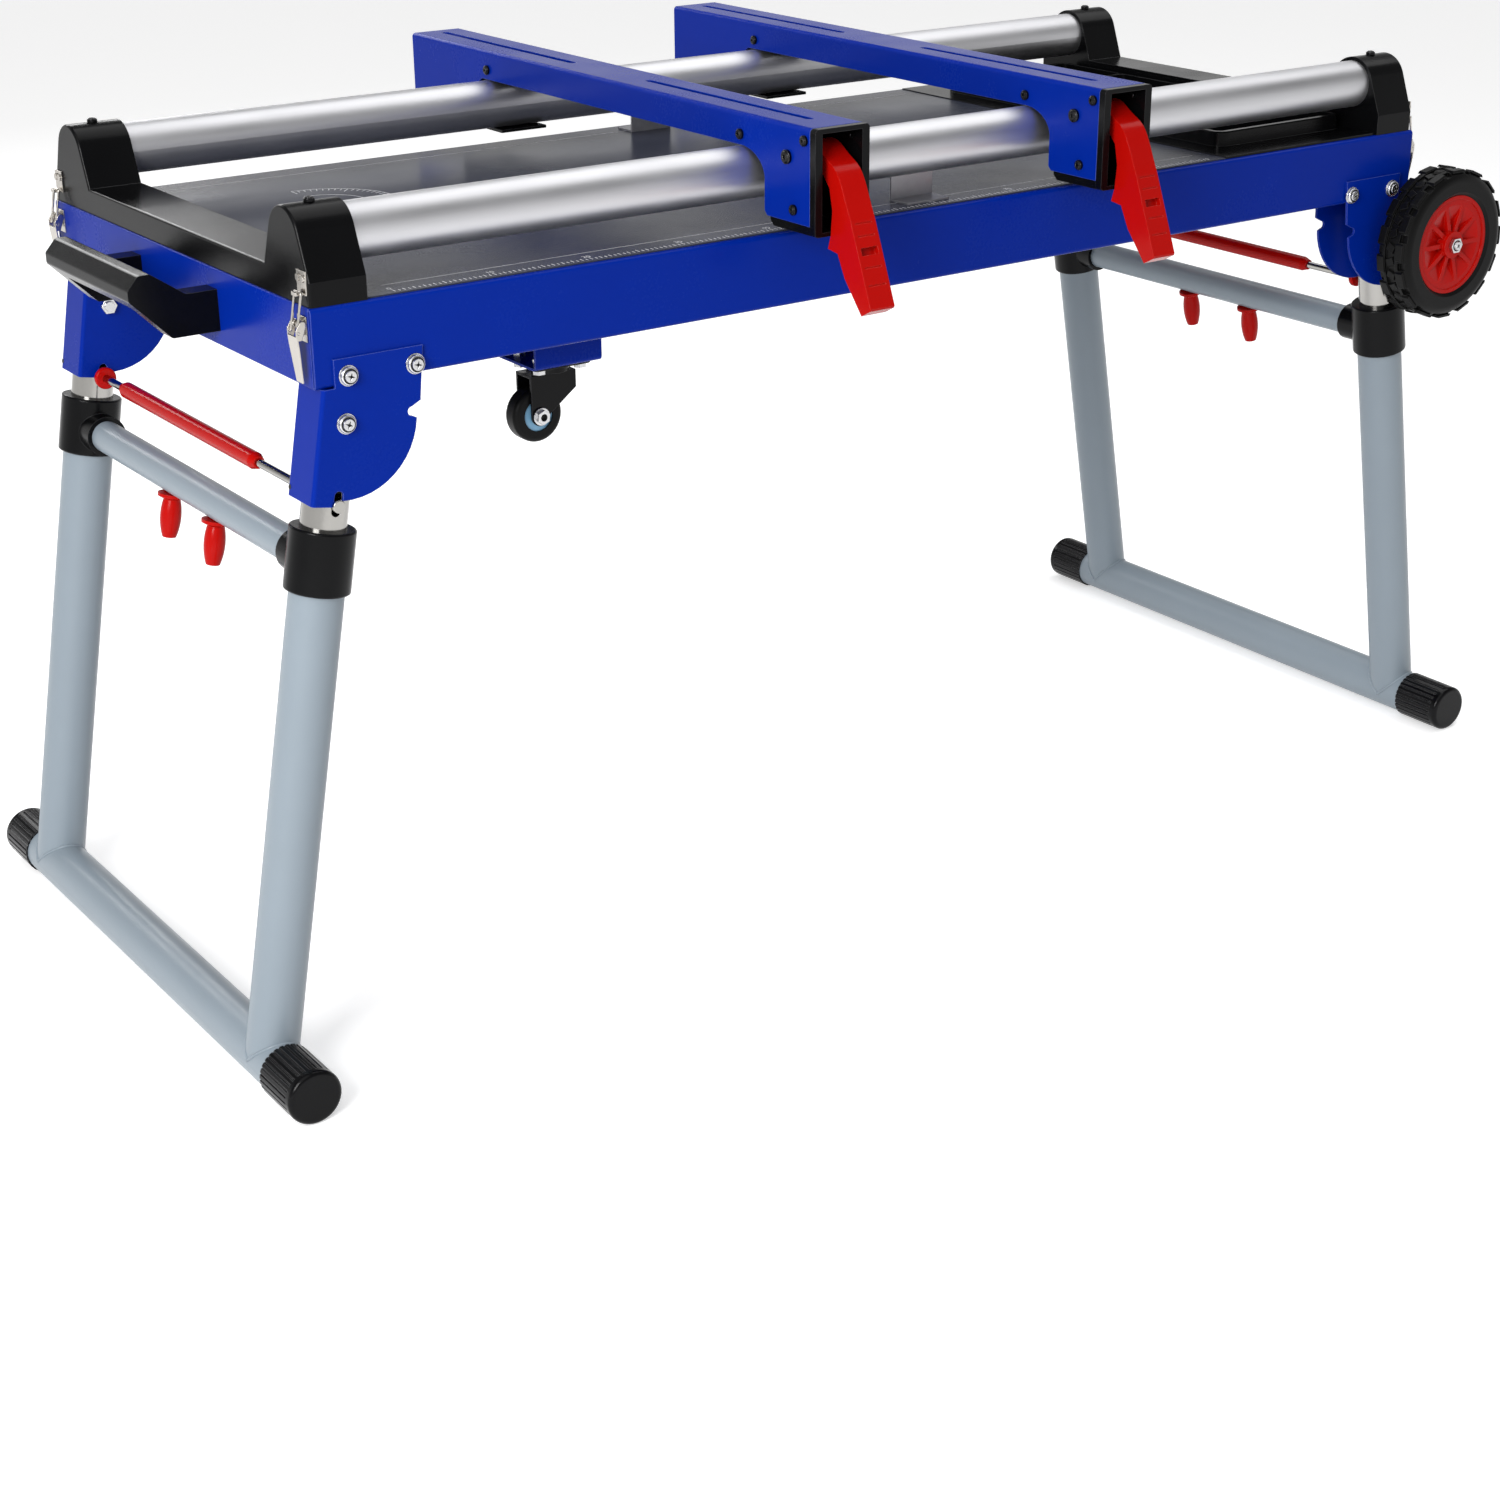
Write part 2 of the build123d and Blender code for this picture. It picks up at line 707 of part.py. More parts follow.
# Black mouldings inside the channel: the front housing of the clamp and the back hook
block_half = inner_half - block_fit
pad_radius = rail_od / 2 + rest_gap
block_top = table_top + mount_top - mount_wall - block_fit
with BuildPart() as right_mount_blocks:
    with BuildSketch(Plane.YZ.offset(mount_x - block_half)):
        with BuildLine():
            low = table_top + housing_below
            inner_y = -rail_y - mount_arch_front - housing_wall
            Polyline(
                (-mount_front, low),
                (-mount_front, block_top),
                (-housing_back, block_top),
                (-housing_back, table_top + mount_skirt),
                (-rail_y, table_top + mount_skirt),
                (inner_y + housing_wall, table_top + mount_skirt),
                (inner_y, low + housing_wall),
                (inner_y - housing_wall, low),
                close=True,
            )
        make_face()
        with Locations((-rail_y, rail_z)):
            Circle(pad_radius, mode=Mode.SUBTRACT)
        with BuildLine():
            hook_low = rail_z - pad_radius - hook_lip
            Polyline(
                (hook_front, hook_low),
                (hook_end, hook_low),
                (hook_end, block_top),
                (hook_front, block_top),
                (hook_front, table_top + mount_skirt),
                (rail_y, table_top + mount_skirt),
                (rail_y, hook_low + hook_lip),
                (hook_front, hook_low + hook_lip),
                close=True,
            )
        make_face()
        with Locations((rail_y, rail_z)):
            Circle(pad_radius, mode=Mode.SUBTRACT)
    extrude(amount=2 * block_half)
    with BuildSketch(Plane.XZ.offset(mount_front + block_fit)):
        frame_low = table_top + housing_below
        frame_high = table_top + mount_top - block_fit
        with Locations((mount_x, (frame_low + frame_high) / 2)):
            RectangleRounded(mount_width, frame_high - frame_low, mount_bend)
    extrude(amount=housing_lip)
    with BuildSketch(Plane.XZ.offset(mount_front - cut_extra)):
        with Locations((mount_x, (frame_low + block_top) / 2)):
            Rectangle(2 * block_half, block_top - frame_low)
    extrude(amount=cut_extra * 2)
    # Bolt heads slide along this groove under the slots
    with BuildSketch(Plane.XZ.offset(-hook_end - cut_extra)):
        groove_low = table_top + groove_floor
        with Locations((mount_x, (groove_low + block_top + cut_extra) / 2)):
            Rectangle(groove_width, block_top + cut_extra - groove_low)
    extrude(amount=hook_end + lever_pivot_y + cut_extra, mode=Mode.SUBTRACT)
    mouth_low = frame_low + housing_floor
    mouth_high = block_top - housing_roof
    with BuildSketch(Plane.XZ.offset(lever_pivot_y - lever_hub_od)):
        with Locations((mount_x, (mouth_low + mouth_high) / 2)):
            Rectangle(2 * (block_half - housing_wall), mouth_high - mouth_low)
    extrude(amount=mount_front, mode=Mode.SUBTRACT)
    with BuildSketch(Plane.YZ.offset(mount_x - mount_width)):
        with Locations(*mount_screw_places()):
            Circle(mount_screw_od / 2 + seat_gap)
        with Locations((-lever_pivot_y, table_top + lever_pivot_rise)):
            Circle(lever_pin_od / 2 + seat_gap)
    extrude(amount=2 * mount_width, mode=Mode.SUBTRACT)

# Screws in both sides of the channel, and the long pin of the clamp lever
with BuildPart() as right_mount_screws:
    outer_face = mount_x + mount_width / 2
    with BuildSketch(Plane.YZ.offset(outer_face - mount_screw_grip)):
        with Locations(*mount_screw_places()):
            Circle(mount_screw_od / 2)
    extrude(amount=mount_screw_grip)
    with BuildSketch(Plane.YZ.offset(outer_face)):
        with Locations(*mount_screw_places()):
            Circle(mount_screw_head_od / 2)
    extrude(amount=mount_screw_head)
    fillet(right_mount_screws.edges().group_by(Axis.X)[-1], mount_screw_edge)
    mirror(about=Plane.YZ.offset(mount_x))
    with BuildSketch(Plane.YZ.offset(outer_face - mount_width)):
        with Locations((-lever_pivot_y, table_top + lever_pivot_rise)):
            Circle(lever_pin_od / 2)
    extrude(amount=mount_width)
    for face_x, way in ((outer_face, 1), (outer_face - mount_width, -1)):
        with BuildSketch(Plane.YZ.offset(face_x)):
            with Locations((-lever_pivot_y, table_top + lever_pivot_rise)):
                Circle(lever_pin_head_od / 2)
        extrude(amount=way * mount_screw_head)

# Red clamp lever: a hub on the pin, a neck out through the housing and a long curved grip
# with a pocket and grooves across its flat face
lever_pivot_z = table_top + lever_pivot_rise


def lever_point(share):
    """Y and Z of a point of the lever: shares of its size, outward and upward from the pin."""
    return (-lever_pivot_y - share[0] * lever_size, lever_pivot_z + share[1] * lever_size)


with BuildPart() as right_clamp_lever:
    with BuildSketch(Plane.YZ.offset(mount_x - lever_width / 2)):
        with BuildLine():
            ridge = Spline(*[lever_point(share) for share in lever_ridge_shares])
            Polyline(
                ridge @ 1,
                lever_point(lever_tip_share),
                *[lever_point(share) for share in lever_back_shares],
                *[lever_point(share) for share in lever_throat_shares],
                ridge @ 0,
            )
        make_face()
        with Locations((-lever_pivot_y, lever_pivot_z)):
            Circle(lever_hub_od / 2)
    extrude(amount=lever_width)
    face_top = lever_point(lever_ridge_shares[-1])
    face_end = lever_point(lever_tip_share)
    face_length = math.hypot(face_end[0] - face_top[0], face_end[1] - face_top[1])
    face_lean = math.atan2(face_top[0] - face_end[0], face_top[1] - face_end[1])
    face_plane = Plane(
        origin=(mount_x, face_top[0], face_top[1]),
        x_dir=(1, 0, 0),
        z_dir=(0, -math.cos(face_lean), math.sin(face_lean)),
    )
    chamfer(right_clamp_lever.edges().filter_by(Axis.X).group_by(Axis.Y)[0], lever_edge)
    with BuildSketch(face_plane):
        with Locations((0, -lever_slot_share * face_length)):
            Rectangle(lever_slot_width, lever_slot_height)
    extrude(amount=-lever_slot_depth, mode=Mode.SUBTRACT)
    with BuildSketch(face_plane):
        for share in lever_groove_shares:
            with Locations((0, -share * face_length)):
                Rectangle(lever_slot_width, lever_groove)
    extrude(amount=-lever_groove_depth, mode=Mode.SUBTRACT)
    with BuildSketch(Plane.YZ.offset(mount_x - lever_width)):
        with Locations((-lever_pivot_y, lever_pivot_z)):
            Circle(lever_pin_od / 2 + slide_gap)
    extrude(amount=2 * lever_width, mode=Mode.SUBTRACT)

for name, piece in (
    ("mount_bar", right_mount_bar),
    ("mount_blocks", right_mount_blocks),
    ("mount_screws", right_mount_screws),
    ("clamp_lever", right_clamp_lever),
):
    pieces[f"right_{name}"] = piece
    pieces[f"left_{name}"] = mirrored(piece, Plane.YZ)


# Leg brackets: a sheet bent round the leg, an outer plate on the apron and an inner plate
# under it, with a notch for the deployed leg and one for the folded leg
def bracket_outline(top_rise, outer_edge, with_lug):
    """Sketch, in X and Z, of one plate of the right bracket."""
    rim_low = on_leg(bracket_rim)
    lip_low = on_leg(bracket_lip)
    web_out = bracket_web + bracket_sheet
    web_low = on_leg(bracket_lip, web_out)
    web_top_s = (web_out * math.sin(lean) - pivot_drop) / math.cos(lean)
    web_top = on_leg(web_top_s, web_out)
    inner_low = bracket_step_rise
    middle = math.radians(leg_angle / 2 - 90)
    rim_middle = (
        pivot_x + bracket_rim * math.cos(middle),
        pivot_z + bracket_rim * math.sin(middle),
    )
    rim_start = (pivot_x - bracket_rim, pivot_z)
    with BuildSketch(Plane.XZ) as plate:
        with BuildLine():
            ThreePointArc(rim_start, rim_middle, rim_low)
            if top_rise > pivot_drop:
                upper = [
                    (pivot_x + outer_edge, apron_bottom),
                    (pivot_x + outer_edge, pivot_z + top_rise),
                    (pivot_x - bracket_inner_edge, pivot_z + top_rise),
                ]
            else:
                upper = [(pivot_x - bracket_inner_edge + bracket_corner, pivot_z + top_rise)]
            Polyline(
                rim_low,
                lip_low,
                web_low,
                web_top,
                *upper,
                (pivot_x - bracket_step, pivot_z + inner_low),
                (pivot_x - bracket_step, pivot_z),
                rim_start,
            )
        make_face()
        if with_lug:
            with BuildLine():
                lug_from = on_leg(bracket_rim * lug_root_share, bracket_web)
                lug_to = on_leg(-pivot_drop * lug_root_share, bracket_web)
                Polyline(
                    lug_from,
                    (axle_x, axle_z - axle_lug),
                    (axle_x, axle_z + axle_lug),
                    lug_to,
                    close=True,
                )
            make_face()
            with Locations((axle_x, axle_z)):
                Circle(axle_lug)
            with Locations((axle_x, axle_z)):
                Circle(axle_od / 2 + seat_gap, mode=Mode.SUBTRACT)
        # Both notches end in the seat of the release rod
        with Locations(on_leg(rod_seated_s)):
            Circle(notch_width / 2, mode=Mode.SUBTRACT)
        with Locations(on_leg(rod_seated_s + notch_width)):
            Rectangle(2 * notch_width, notch_width, rotation=leg_angle, mode=Mode.SUBTRACT)
        with Locations((pivot_x - rod_seated_s, pivot_z)):
            Circle(notch_width / 2, mode=Mode.SUBTRACT)
        with BuildLine():
            mouth_x = pivot_x - bracket_step - bracket_corner
            Polyline(
                (pivot_x - rod_seated_s, pivot_z + notch_width / 2),
                (mouth_x, pivot_z + bracket_step_rise),
                (mouth_x, pivot_z - bracket_step_rise),
                (pivot_x - rod_seated_s, pivot_z - notch_width / 2),
                close=True,
            )
        make_face(mode=Mode.SUBTRACT)
        with Locations((pivot_x, pivot_z)):
            Circle(pivot_bolt_od / 2 + seat_gap, mode=Mode.SUBTRACT)
    return plate


def bracket(with_lug):
    """Right front bracket."""
    plate_y = side_y
    with BuildPart() as solid:
        with BuildSketch(Plane.XZ.offset(plate_y)):
            add(bracket_outline(bracket_top, bracket_outer_edge, with_lug).sketch_local)
            with Locations(*bracket_bolts()):
                Circle(bracket_bolt_od / 2 + seat_gap, mode=Mode.SUBTRACT)
        extrude(amount=bracket_sheet)
        with BuildSketch(Plane.XZ.offset(inner_plate_y)):
            add(bracket_outline(pivot_drop, bracket_outer_edge, False).sketch_local)
        extrude(amount=bracket_sheet)
        with BuildSketch(Plane.XZ.offset(inner_plate_y)):
            with BuildLine():
                web_out = bracket_web + bracket_sheet
                out_top = (web_out * math.sin(lean) - pivot_drop) / math.cos(lean)
                in_top = (bracket_web * math.sin(lean) - pivot_drop) / math.cos(lean)
                Polyline(
                    on_leg(bracket_lip, bracket_web),
                    on_leg(bracket_lip, web_out),
                    on_leg(out_top, web_out),
                    on_leg(in_top, bracket_web),
                    close=True,
                )
            make_face()
        extrude(amount=plate_y + bracket_sheet - inner_plate_y)
        down_leg = Vector(math.sin(lean), 0, -math.cos(lean))
        bend_x, bend_z = on_leg((bracket_lip + out_top) / 2, web_out)
        outer_bends = [
            edge
            for edge in solid.edges().filter_by(GeomType.LINE)
            if abs(edge.tangent_at(0).dot(down_leg)) > math.cos(lean / 4)
            and (edge.center() - Vector(bend_x, edge.center().Y, bend_z)).length < bracket_bend
        ]
        fillet(outer_bends, bracket_bend)
    return solid


with BuildPart() as leg_brackets:
    plain = bracket(False)
    lugged = bracket(True)
    add(with_mirror(lugged, Plane.XZ).part)
    add(mirrored(with_mirror(plain, Plane.XZ), Plane.YZ).part)
pieces["leg_brackets"] = leg_brackets

# Chrome inner tubes of the right leg, bored for the pivot, the release rod and the lock pins
with BuildPart() as front_inner_tube:
    with BuildSketch(leg_plane(-inner_tube_top)):
        with Locations((-tube_y, 0)):
            Circle(inner_tube_od / 2)
    extrude(amount=inner_tube_end + inner_tube_top)
    with BuildSketch(leg_plane(inner_tube_end - swage_length)):
        with Locations((-tube_y, 0)):
            Circle(outer_tube_od / 2 - tube_wall - slide_gap)
    extrude(amount=swage_length)
    with BuildSketch(leg_plane(-inner_tube_top - cut_extra)):
        with Locations((-tube_y, 0)):
            Circle(inner_tube_od / 2 - tube_wall)
    extrude(amount=inner_tube_end + inner_tube_top + 2 * cut_extra, mode=Mode.SUBTRACT)
    with BuildSketch(Plane.XZ.offset(tube_y)):
        with Locations((pivot_x, pivot_z)):
            Circle(pivot_bolt_od / 2 + slide_gap)
        with Locations(on_leg(rod_s + (rod_pulled - rod_rest) / 2)):
            SlotCenterToCenter(rod_rest + rod_pulled, rod_od + 2 * hole_gap, rotation=leg_angle)
    extrude(amount=inner_tube_od, both=True, mode=Mode.SUBTRACT)
    with BuildSketch(Plane.XZ.offset(tube_y - inner_tube_od)):
        for step in range(lock_steps):
            with Locations(on_leg(crossbar_s + step * lock_pitch)):
                Circle(lock_pin_od / 2 + hole_gap)
    extrude(amount=inner_tube_od, mode=Mode.SUBTRACT)
right_inner_tubes = with_mirror(front_inner_tube, Plane.XZ)

# Painted lower frame: two tubes welded to the foot bar, and the crossbar in its sockets
lower_tube_top = collar_top + collar_guide
with BuildPart() as right_frame_weldment:
    with BuildSketch(leg_plane(lower_tube_top)):
        with Locations((-tube_y, 0), (tube_y, 0)):
            Circle(outer_tube_od / 2)
    extrude(amount=leg_length - lower_tube_top)
    with BuildSketch(Plane.XZ):
        with Locations(on_leg(leg_length)):
            Circle(outer_tube_od / 2)
    extrude(amount=foot_cap_end - foot_cap_wall, both=True)
    with BuildSketch(Plane.XZ):
        with Locations(on_leg(leg_length)):
            Circle(outer_tube_od / 2 - tube_wall)
    extrude(amount=foot_cap_end, both=True, mode=Mode.SUBTRACT)
    with BuildSketch(leg_plane(lower_tube_top - cut_extra)):
        with Locations((-tube_y, 0), (tube_y, 0)):
            Circle(outer_tube_od / 2 - tube_wall)
    bore_end = leg_length - outer_tube_od / 2 - tube_wall
    extrude(amount=bore_end - lower_tube_top + cut_extra, mode=Mode.SUBTRACT)
    with BuildSketch(Plane.XZ.offset(-tube_y)):
        with Locations(on_leg(crossbar_s)):
            Circle(lock_pin_od / 2 + hole_gap)
    extrude(amount=2 * tube_y, mode=Mode.SUBTRACT)

socket_y = tube_y - socket_reach
crossbar_half = socket_y + socket_depth - seat_gap
stem_slot = lock_seated + lock_pulled + lock_rod_od + 2 * hole_gap
with BuildPart() as right_crossbar:
    with BuildSketch(Plane.XZ):
        with Locations(on_leg(crossbar_s)):
            Circle(crossbar_od / 2)
            Circle(crossbar_od / 2 - tube_wall, mode=Mode.SUBTRACT)
    extrude(amount=crossbar_half, both=True)
    with BuildSketch(leg_plane(crossbar_s)):
        for side in (-1, 1):
            with Locations((side * (knob_y + (lock_seated - lock_pulled) / 2), 0)):
                SlotOverall(stem_slot, lock_rod_od + 2 * hole_gap)
    extrude(amount=crossbar_od, mode=Mode.SUBTRACT)

with BuildPart() as right_leg_frame:
    add(right_frame_weldment.part)
    add(right_crossbar.part)

# Black collars that guide the inner tubes and hold the crossbar
with BuildPart() as front_collar:
    with BuildSketch(leg_plane(collar_top)):
        with Locations((-tube_y, 0)):
            Circle(collar_od / 2)
    extrude(amount=collar_end - collar_top)
    fillet(front_collar.edges().filter_by(GeomType.CIRCLE), collar_edge)
    with BuildSketch(Plane.XZ.offset(socket_y)):
        with Locations(on_leg(crossbar_s)):
            Circle(socket_od / 2)
    extrude(amount=socket_reach)
    with BuildSketch(leg_plane(collar_top - cut_extra)):
        with Locations((-tube_y, 0)):
            Circle(inner_tube_od / 2 + slide_gap)
    extrude(amount=collar_end - collar_top + 2 * cut_extra, mode=Mode.SUBTRACT)
    with BuildSketch(leg_plane(lower_tube_top - seat_gap)):
        with Locations((-tube_y, 0)):
            Circle(outer_tube_od / 2 + seat_gap)
    extrude(amount=collar_end, mode=Mode.SUBTRACT)
    with BuildSketch(Plane.XZ.offset(socket_y - cut_extra)):
        with Locations(on_leg(crossbar_s)):
            Circle(crossbar_od / 2 + seat_gap)
    extrude(amount=socket_depth + cut_extra, mode=Mode.SUBTRACT)
    with BuildSketch(Plane.XZ.offset(socket_y)):
        with Locations(on_leg(crossbar_s)):
            Circle(lock_rod_od / 2 + hole_gap)
    extrude(amount=socket_reach, mode=Mode.SUBTRACT)
right_leg_collars = with_mirror(front_collar, Plane.XZ)

# Fluted caps on the ends of the foot bar
with BuildPart() as front_foot_cap:
    with BuildSketch(Plane.XZ.offset(foot_cap_start)):
        with Locations(on_leg(leg_length)):
            Circle(foot_cap_od / 2)
    extrude(amount=foot_cap_length)
    fillet(front_foot_cap.edges().group_by(Axis.Y)[0], foot_edge)
    # Flutes run along the cap and stop short of its closed end
    with BuildSketch(Plane.XZ.offset(foot_cap_start - cut_extra)):
        with Locations(on_leg(leg_length)):
            with PolarLocations(foot_cap_od / 2, foot_flutes):
                RegularPolygon(foot_flute_depth, 4)
    extrude(amount=foot_cap_length - foot_flute_end + cut_extra, mode=Mode.SUBTRACT)
    with BuildSketch(Plane.XZ.offset(foot_cap_start - cut_extra)):
        with Locations(on_leg(leg_length)):
            Circle(outer_tube_od / 2 + slide_gap)
    extrude(amount=foot_cap_length - foot_cap_wall + cut_extra, mode=Mode.SUBTRACT)
right_foot_caps = with_mirror(front_foot_cap, Plane.XZ)

# Release rod through both inner tubes, with a flat head outside each bracket
rod_end_y = side_y + bracket_sheet + rest_gap
with BuildPart() as right_release_rod:
    with BuildSketch(Plane.XZ):
        with Locations(on_leg(rod_s)):
            Circle(rod_od / 2)
    extrude(amount=rod_end_y, both=True)
    with BuildSketch(Plane.XZ.offset(rod_end_y)):
        with Locations(on_leg(rod_s)):
            Circle(rod_head_od / 2)
    extrude(amount=rod_head)
    with BuildSketch(Plane.XZ.offset(-rod_end_y)):
        with Locations(on_leg(rod_s)):
            Circle(rod_head_od / 2)
    extrude(amount=-rod_head)
    fillet(right_release_rod.edges().group_by(Axis.Y)[0], rod_chamfer)
    fillet(right_release_rod.edges().group_by(Axis.Y)[-1], rod_chamfer)


def release_grip(shift):
    """Sleeve on the right release rod, moved back by the shift, with two end discs."""
    with BuildPart() as sleeve:
        with BuildSketch(Plane.XZ.offset(grip_length / 2 - shift)):
            with Locations(on_leg(rod_s)):
                Circle(grip_od / 2)
        extrude(amount=-grip_length)
        chamfer(sleeve.edges().filter_by(GeomType.CIRCLE), grip_end, grip_taper)
        disc_start = inner_plate_y - disc_inset - disc_thickness
        for way in (-1, 1):
            with BuildSketch(Plane.XZ.offset(way * disc_start)):
                with Locations(on_leg(rod_s)):
                    Circle(disc_od / 2)
            extrude(amount=way * disc_thickness)
        rims = sleeve.edges().filter_by(
            lambda edge: edge.geom_type == GeomType.CIRCLE and edge.radius > grip_od / 2 + slide_gap)
        fillet(rims, disc_edge)
        with BuildSketch(Plane.XZ.offset(-rod_end_y)):
            with Locations(on_leg(rod_s)):
                Circle(rod_od / 2 + slide_gap)
        extrude(amount=2 * rod_end_y, mode=Mode.SUBTRACT)
    return sleeve


pieces["right_release_grip"] = release_grip(0)
pieces["left_release_grip"] = mirrored(release_grip(left_grip_shift), Plane.YZ)

# Pull knob under the crossbar, with the rod and lock pin that it draws
pin_tip = tube_y - inner_tube_od / 2 - pin_clearance
knob_top = crossbar_s + crossbar_od / 2 + rest_gap
with BuildPart() as right_front_pull_knob:
    with BuildSketch(Plane.XZ.offset(knob_y - lock_rod_od / 2)):
        with Locations(on_leg(crossbar_s)):
            Circle(lock_rod_od / 2)
    extrude(amount=pin_tip - lock_seated - lock_rod_od - knob_y)
    with BuildSketch(Plane.XZ.offset(knob_y)):
        with Locations(on_leg(crossbar_s)):
            Circle(lock_pin_od / 2)
    extrude(amount=pin_tip - knob_y)
    with BuildSketch(leg_plane(crossbar_s)):
        with Locations((-knob_y, 0)):
            Circle(lock_rod_od / 2)
    extrude(amount=knob_top - crossbar_s)
    axis_x, axis_z = on_leg(knob_top)
    knob_frame = Plane(
        origin=(axis_x, -knob_y, axis_z),
        x_dir=(0, 1, 0),
        z_dir=(math.cos(lean), 0, math.sin(lean)),
    )
    knob_length = knob_end - knob_top
    with BuildSketch(knob_frame):
        with BuildLine():
            belly = -knob_length * knob_belly_share
            Polyline(
                (0, 0),
                (knob_flange_od / 2, 0),
                (knob_flange_od / 2, -knob_flange),
                (knob_neck_od / 2, -knob_flange - knob_shoulder),
            )
            ThreePointArc(
                (knob_neck_od / 2, -knob_flange - knob_shoulder),
                (knob_od / 2, belly),
                (knob_tip_od / 2, -knob_length),
            )
            Polyline(
                (knob_tip_od / 2, -knob_length),
                (0, -knob_length),
                (0, 0),
            )
        make_face()
    revolve(axis=Axis((axis_x, -knob_y, axis_z), (math.sin(lean), 0, -math.cos(lean))))

for name, piece in (
    ("inner_tubes", right_inner_tubes),
    ("leg_frame", right_leg_frame),
    ("leg_collars", right_leg_collars),
    ("foot_caps", right_foot_caps),
    ("release_rod", right_release_rod),
    ("front_pull_knob", right_front_pull_knob),
):
    pieces[f"right_{name}"] = piece
    pieces[f"left_{name}"] = mirrored(piece, Plane.YZ)
for side in ("left", "right"):
    front_knob = pieces[f"{side}_front_pull_knob"]
    pieces[f"{side}_back_pull_knob"] = mirrored(front_knob, Plane.XZ)

# Transport wheel: a rubber tyre on a spoked red rim. The tread has a channel round its
# middle and staggered gaps between the blocks of its two shoulders.
wheel_inner_y = side_y + bracket_sheet + wheel_gap
wheel_outer_y = wheel_inner_y + tyre_width
wheel_mid_y = wheel_inner_y + tyre_width / 2
wheel_axis = Axis((axle_x, 0, axle_z), (0, 1, 0))
with BuildPart() as front_wheel_tyre:
    with BuildSketch(Plane.YZ.offset(axle_x)):
        with BuildLine():
            low = axle_z + rim_od / 2 + slide_gap
            high = axle_z + tyre_od / 2
            edge = -wheel_inner_y
            far = -wheel_outer_y
            channel_near = -wheel_mid_y + tyre_channel / 2
            channel_far = -wheel_mid_y - tyre_channel / 2
            ThreePointArc(
                (far, high - tyre_shoulder),
                (far + tyre_shoulder_cut, high - tyre_shoulder_cut),
                (far + tyre_shoulder, high),
            )
            Polyline(
                (far + tyre_shoulder, high),
                (channel_far, high),
                (channel_far, high - tyre_channel_depth),
                (channel_near, high - tyre_channel_depth),
                (channel_near, high),
                (edge - tyre_shoulder, high),
            )
            ThreePointArc(
                (edge - tyre_shoulder, high),
                (edge - tyre_shoulder_cut, high - tyre_shoulder_cut),
                (edge, high - tyre_shoulder),
            )
            Polyline(
                (edge, high - tyre_shoulder),
                (edge, low + tyre_shoulder_cut),
                (edge - tyre_shoulder_cut, low),
                (far + tyre_shoulder_cut, low),
                (far, low + tyre_shoulder_cut),
                (far, high - tyre_shoulder),
            )
        make_face()
    revolve(axis=wheel_axis)
    half_pitch = 180 / tyre_lugs
    for gap_start, turn in ((wheel_inner_y - cut_extra, 0), (wheel_outer_y - lug_reach, half_pitch)):
        with BuildSketch(Plane.XZ.offset(gap_start)):
            with Locations((axle_x, axle_z)):
                with PolarLocations(tyre_od / 2, tyre_lugs, start_angle=turn):
                    Rectangle(2 * lug_depth, lug_gap)
        extrude(amount=lug_reach + cut_extra, mode=Mode.SUBTRACT)

with BuildPart() as front_wheel_rim:
    with BuildSketch(Plane.XZ.offset(wheel_inner_y + rim_inset)):
        with Locations((axle_x, axle_z)):
            Circle(rim_od / 2)
            Circle(rim_od / 2 - rim_wall, mode=Mode.SUBTRACT)
    extrude(amount=tyre_width - 2 * rim_inset)
    face_y = wheel_outer_y - rim_inset - rim_lip
    with BuildSketch(Plane.XZ.offset(face_y - rim_face)):
        with Locations((axle_x, axle_z)):
            Circle(rim_od / 2 - rim_wall / 2)
    extrude(amount=rim_face)
    # A cone of a pocket deepens towards the hub; the ribs cross it at full height
    pocket_radius = rim_od / 2 * spoke_share
    with BuildSketch(Plane.YZ.offset(axle_x)):
        with BuildLine():
            Polyline(
                (-face_y, axle_z + pocket_radius),
                (-face_y + rim_pocket, axle_z + hub_od / 2),
                (-face_y - cut_extra, axle_z + hub_od / 2),
                (-face_y - cut_extra, axle_z + pocket_radius),
                close=True,
            )
        make_face()
    revolve(axis=wheel_axis, mode=Mode.SUBTRACT)
    with BuildSketch(Plane.XZ.offset(face_y - rim_pocket)):
        with Locations((axle_x, axle_z)):
            with PolarLocations((pocket_radius + hub_od / 2) / 2, spokes):
                Rectangle(pocket_radius - hub_od / 2 + 2 * cut_extra, spoke_width)
    extrude(amount=rim_pocket)
    with BuildSketch(Plane.XZ.offset(wheel_inner_y + hub_inset)):
        with Locations((axle_x, axle_z)):
            Circle(hub_od / 2)
    extrude(amount=tyre_width - 2 * hub_inset)
    with BuildSketch(Plane.XZ.offset(wheel_inner_y - cut_extra)):
        with Locations((axle_x, axle_z)):
            Circle(axle_od / 2 + slide_gap)
    extrude(amount=tyre_width + 2 * cut_extra, mode=Mode.SUBTRACT)

for name, piece in (("wheel_tyre", front_wheel_tyre), ("wheel_rim", front_wheel_rim)):
    pieces[f"front_{name}"] = piece
    pieces[f"back_{name}"] = mirrored(piece, Plane.XZ)

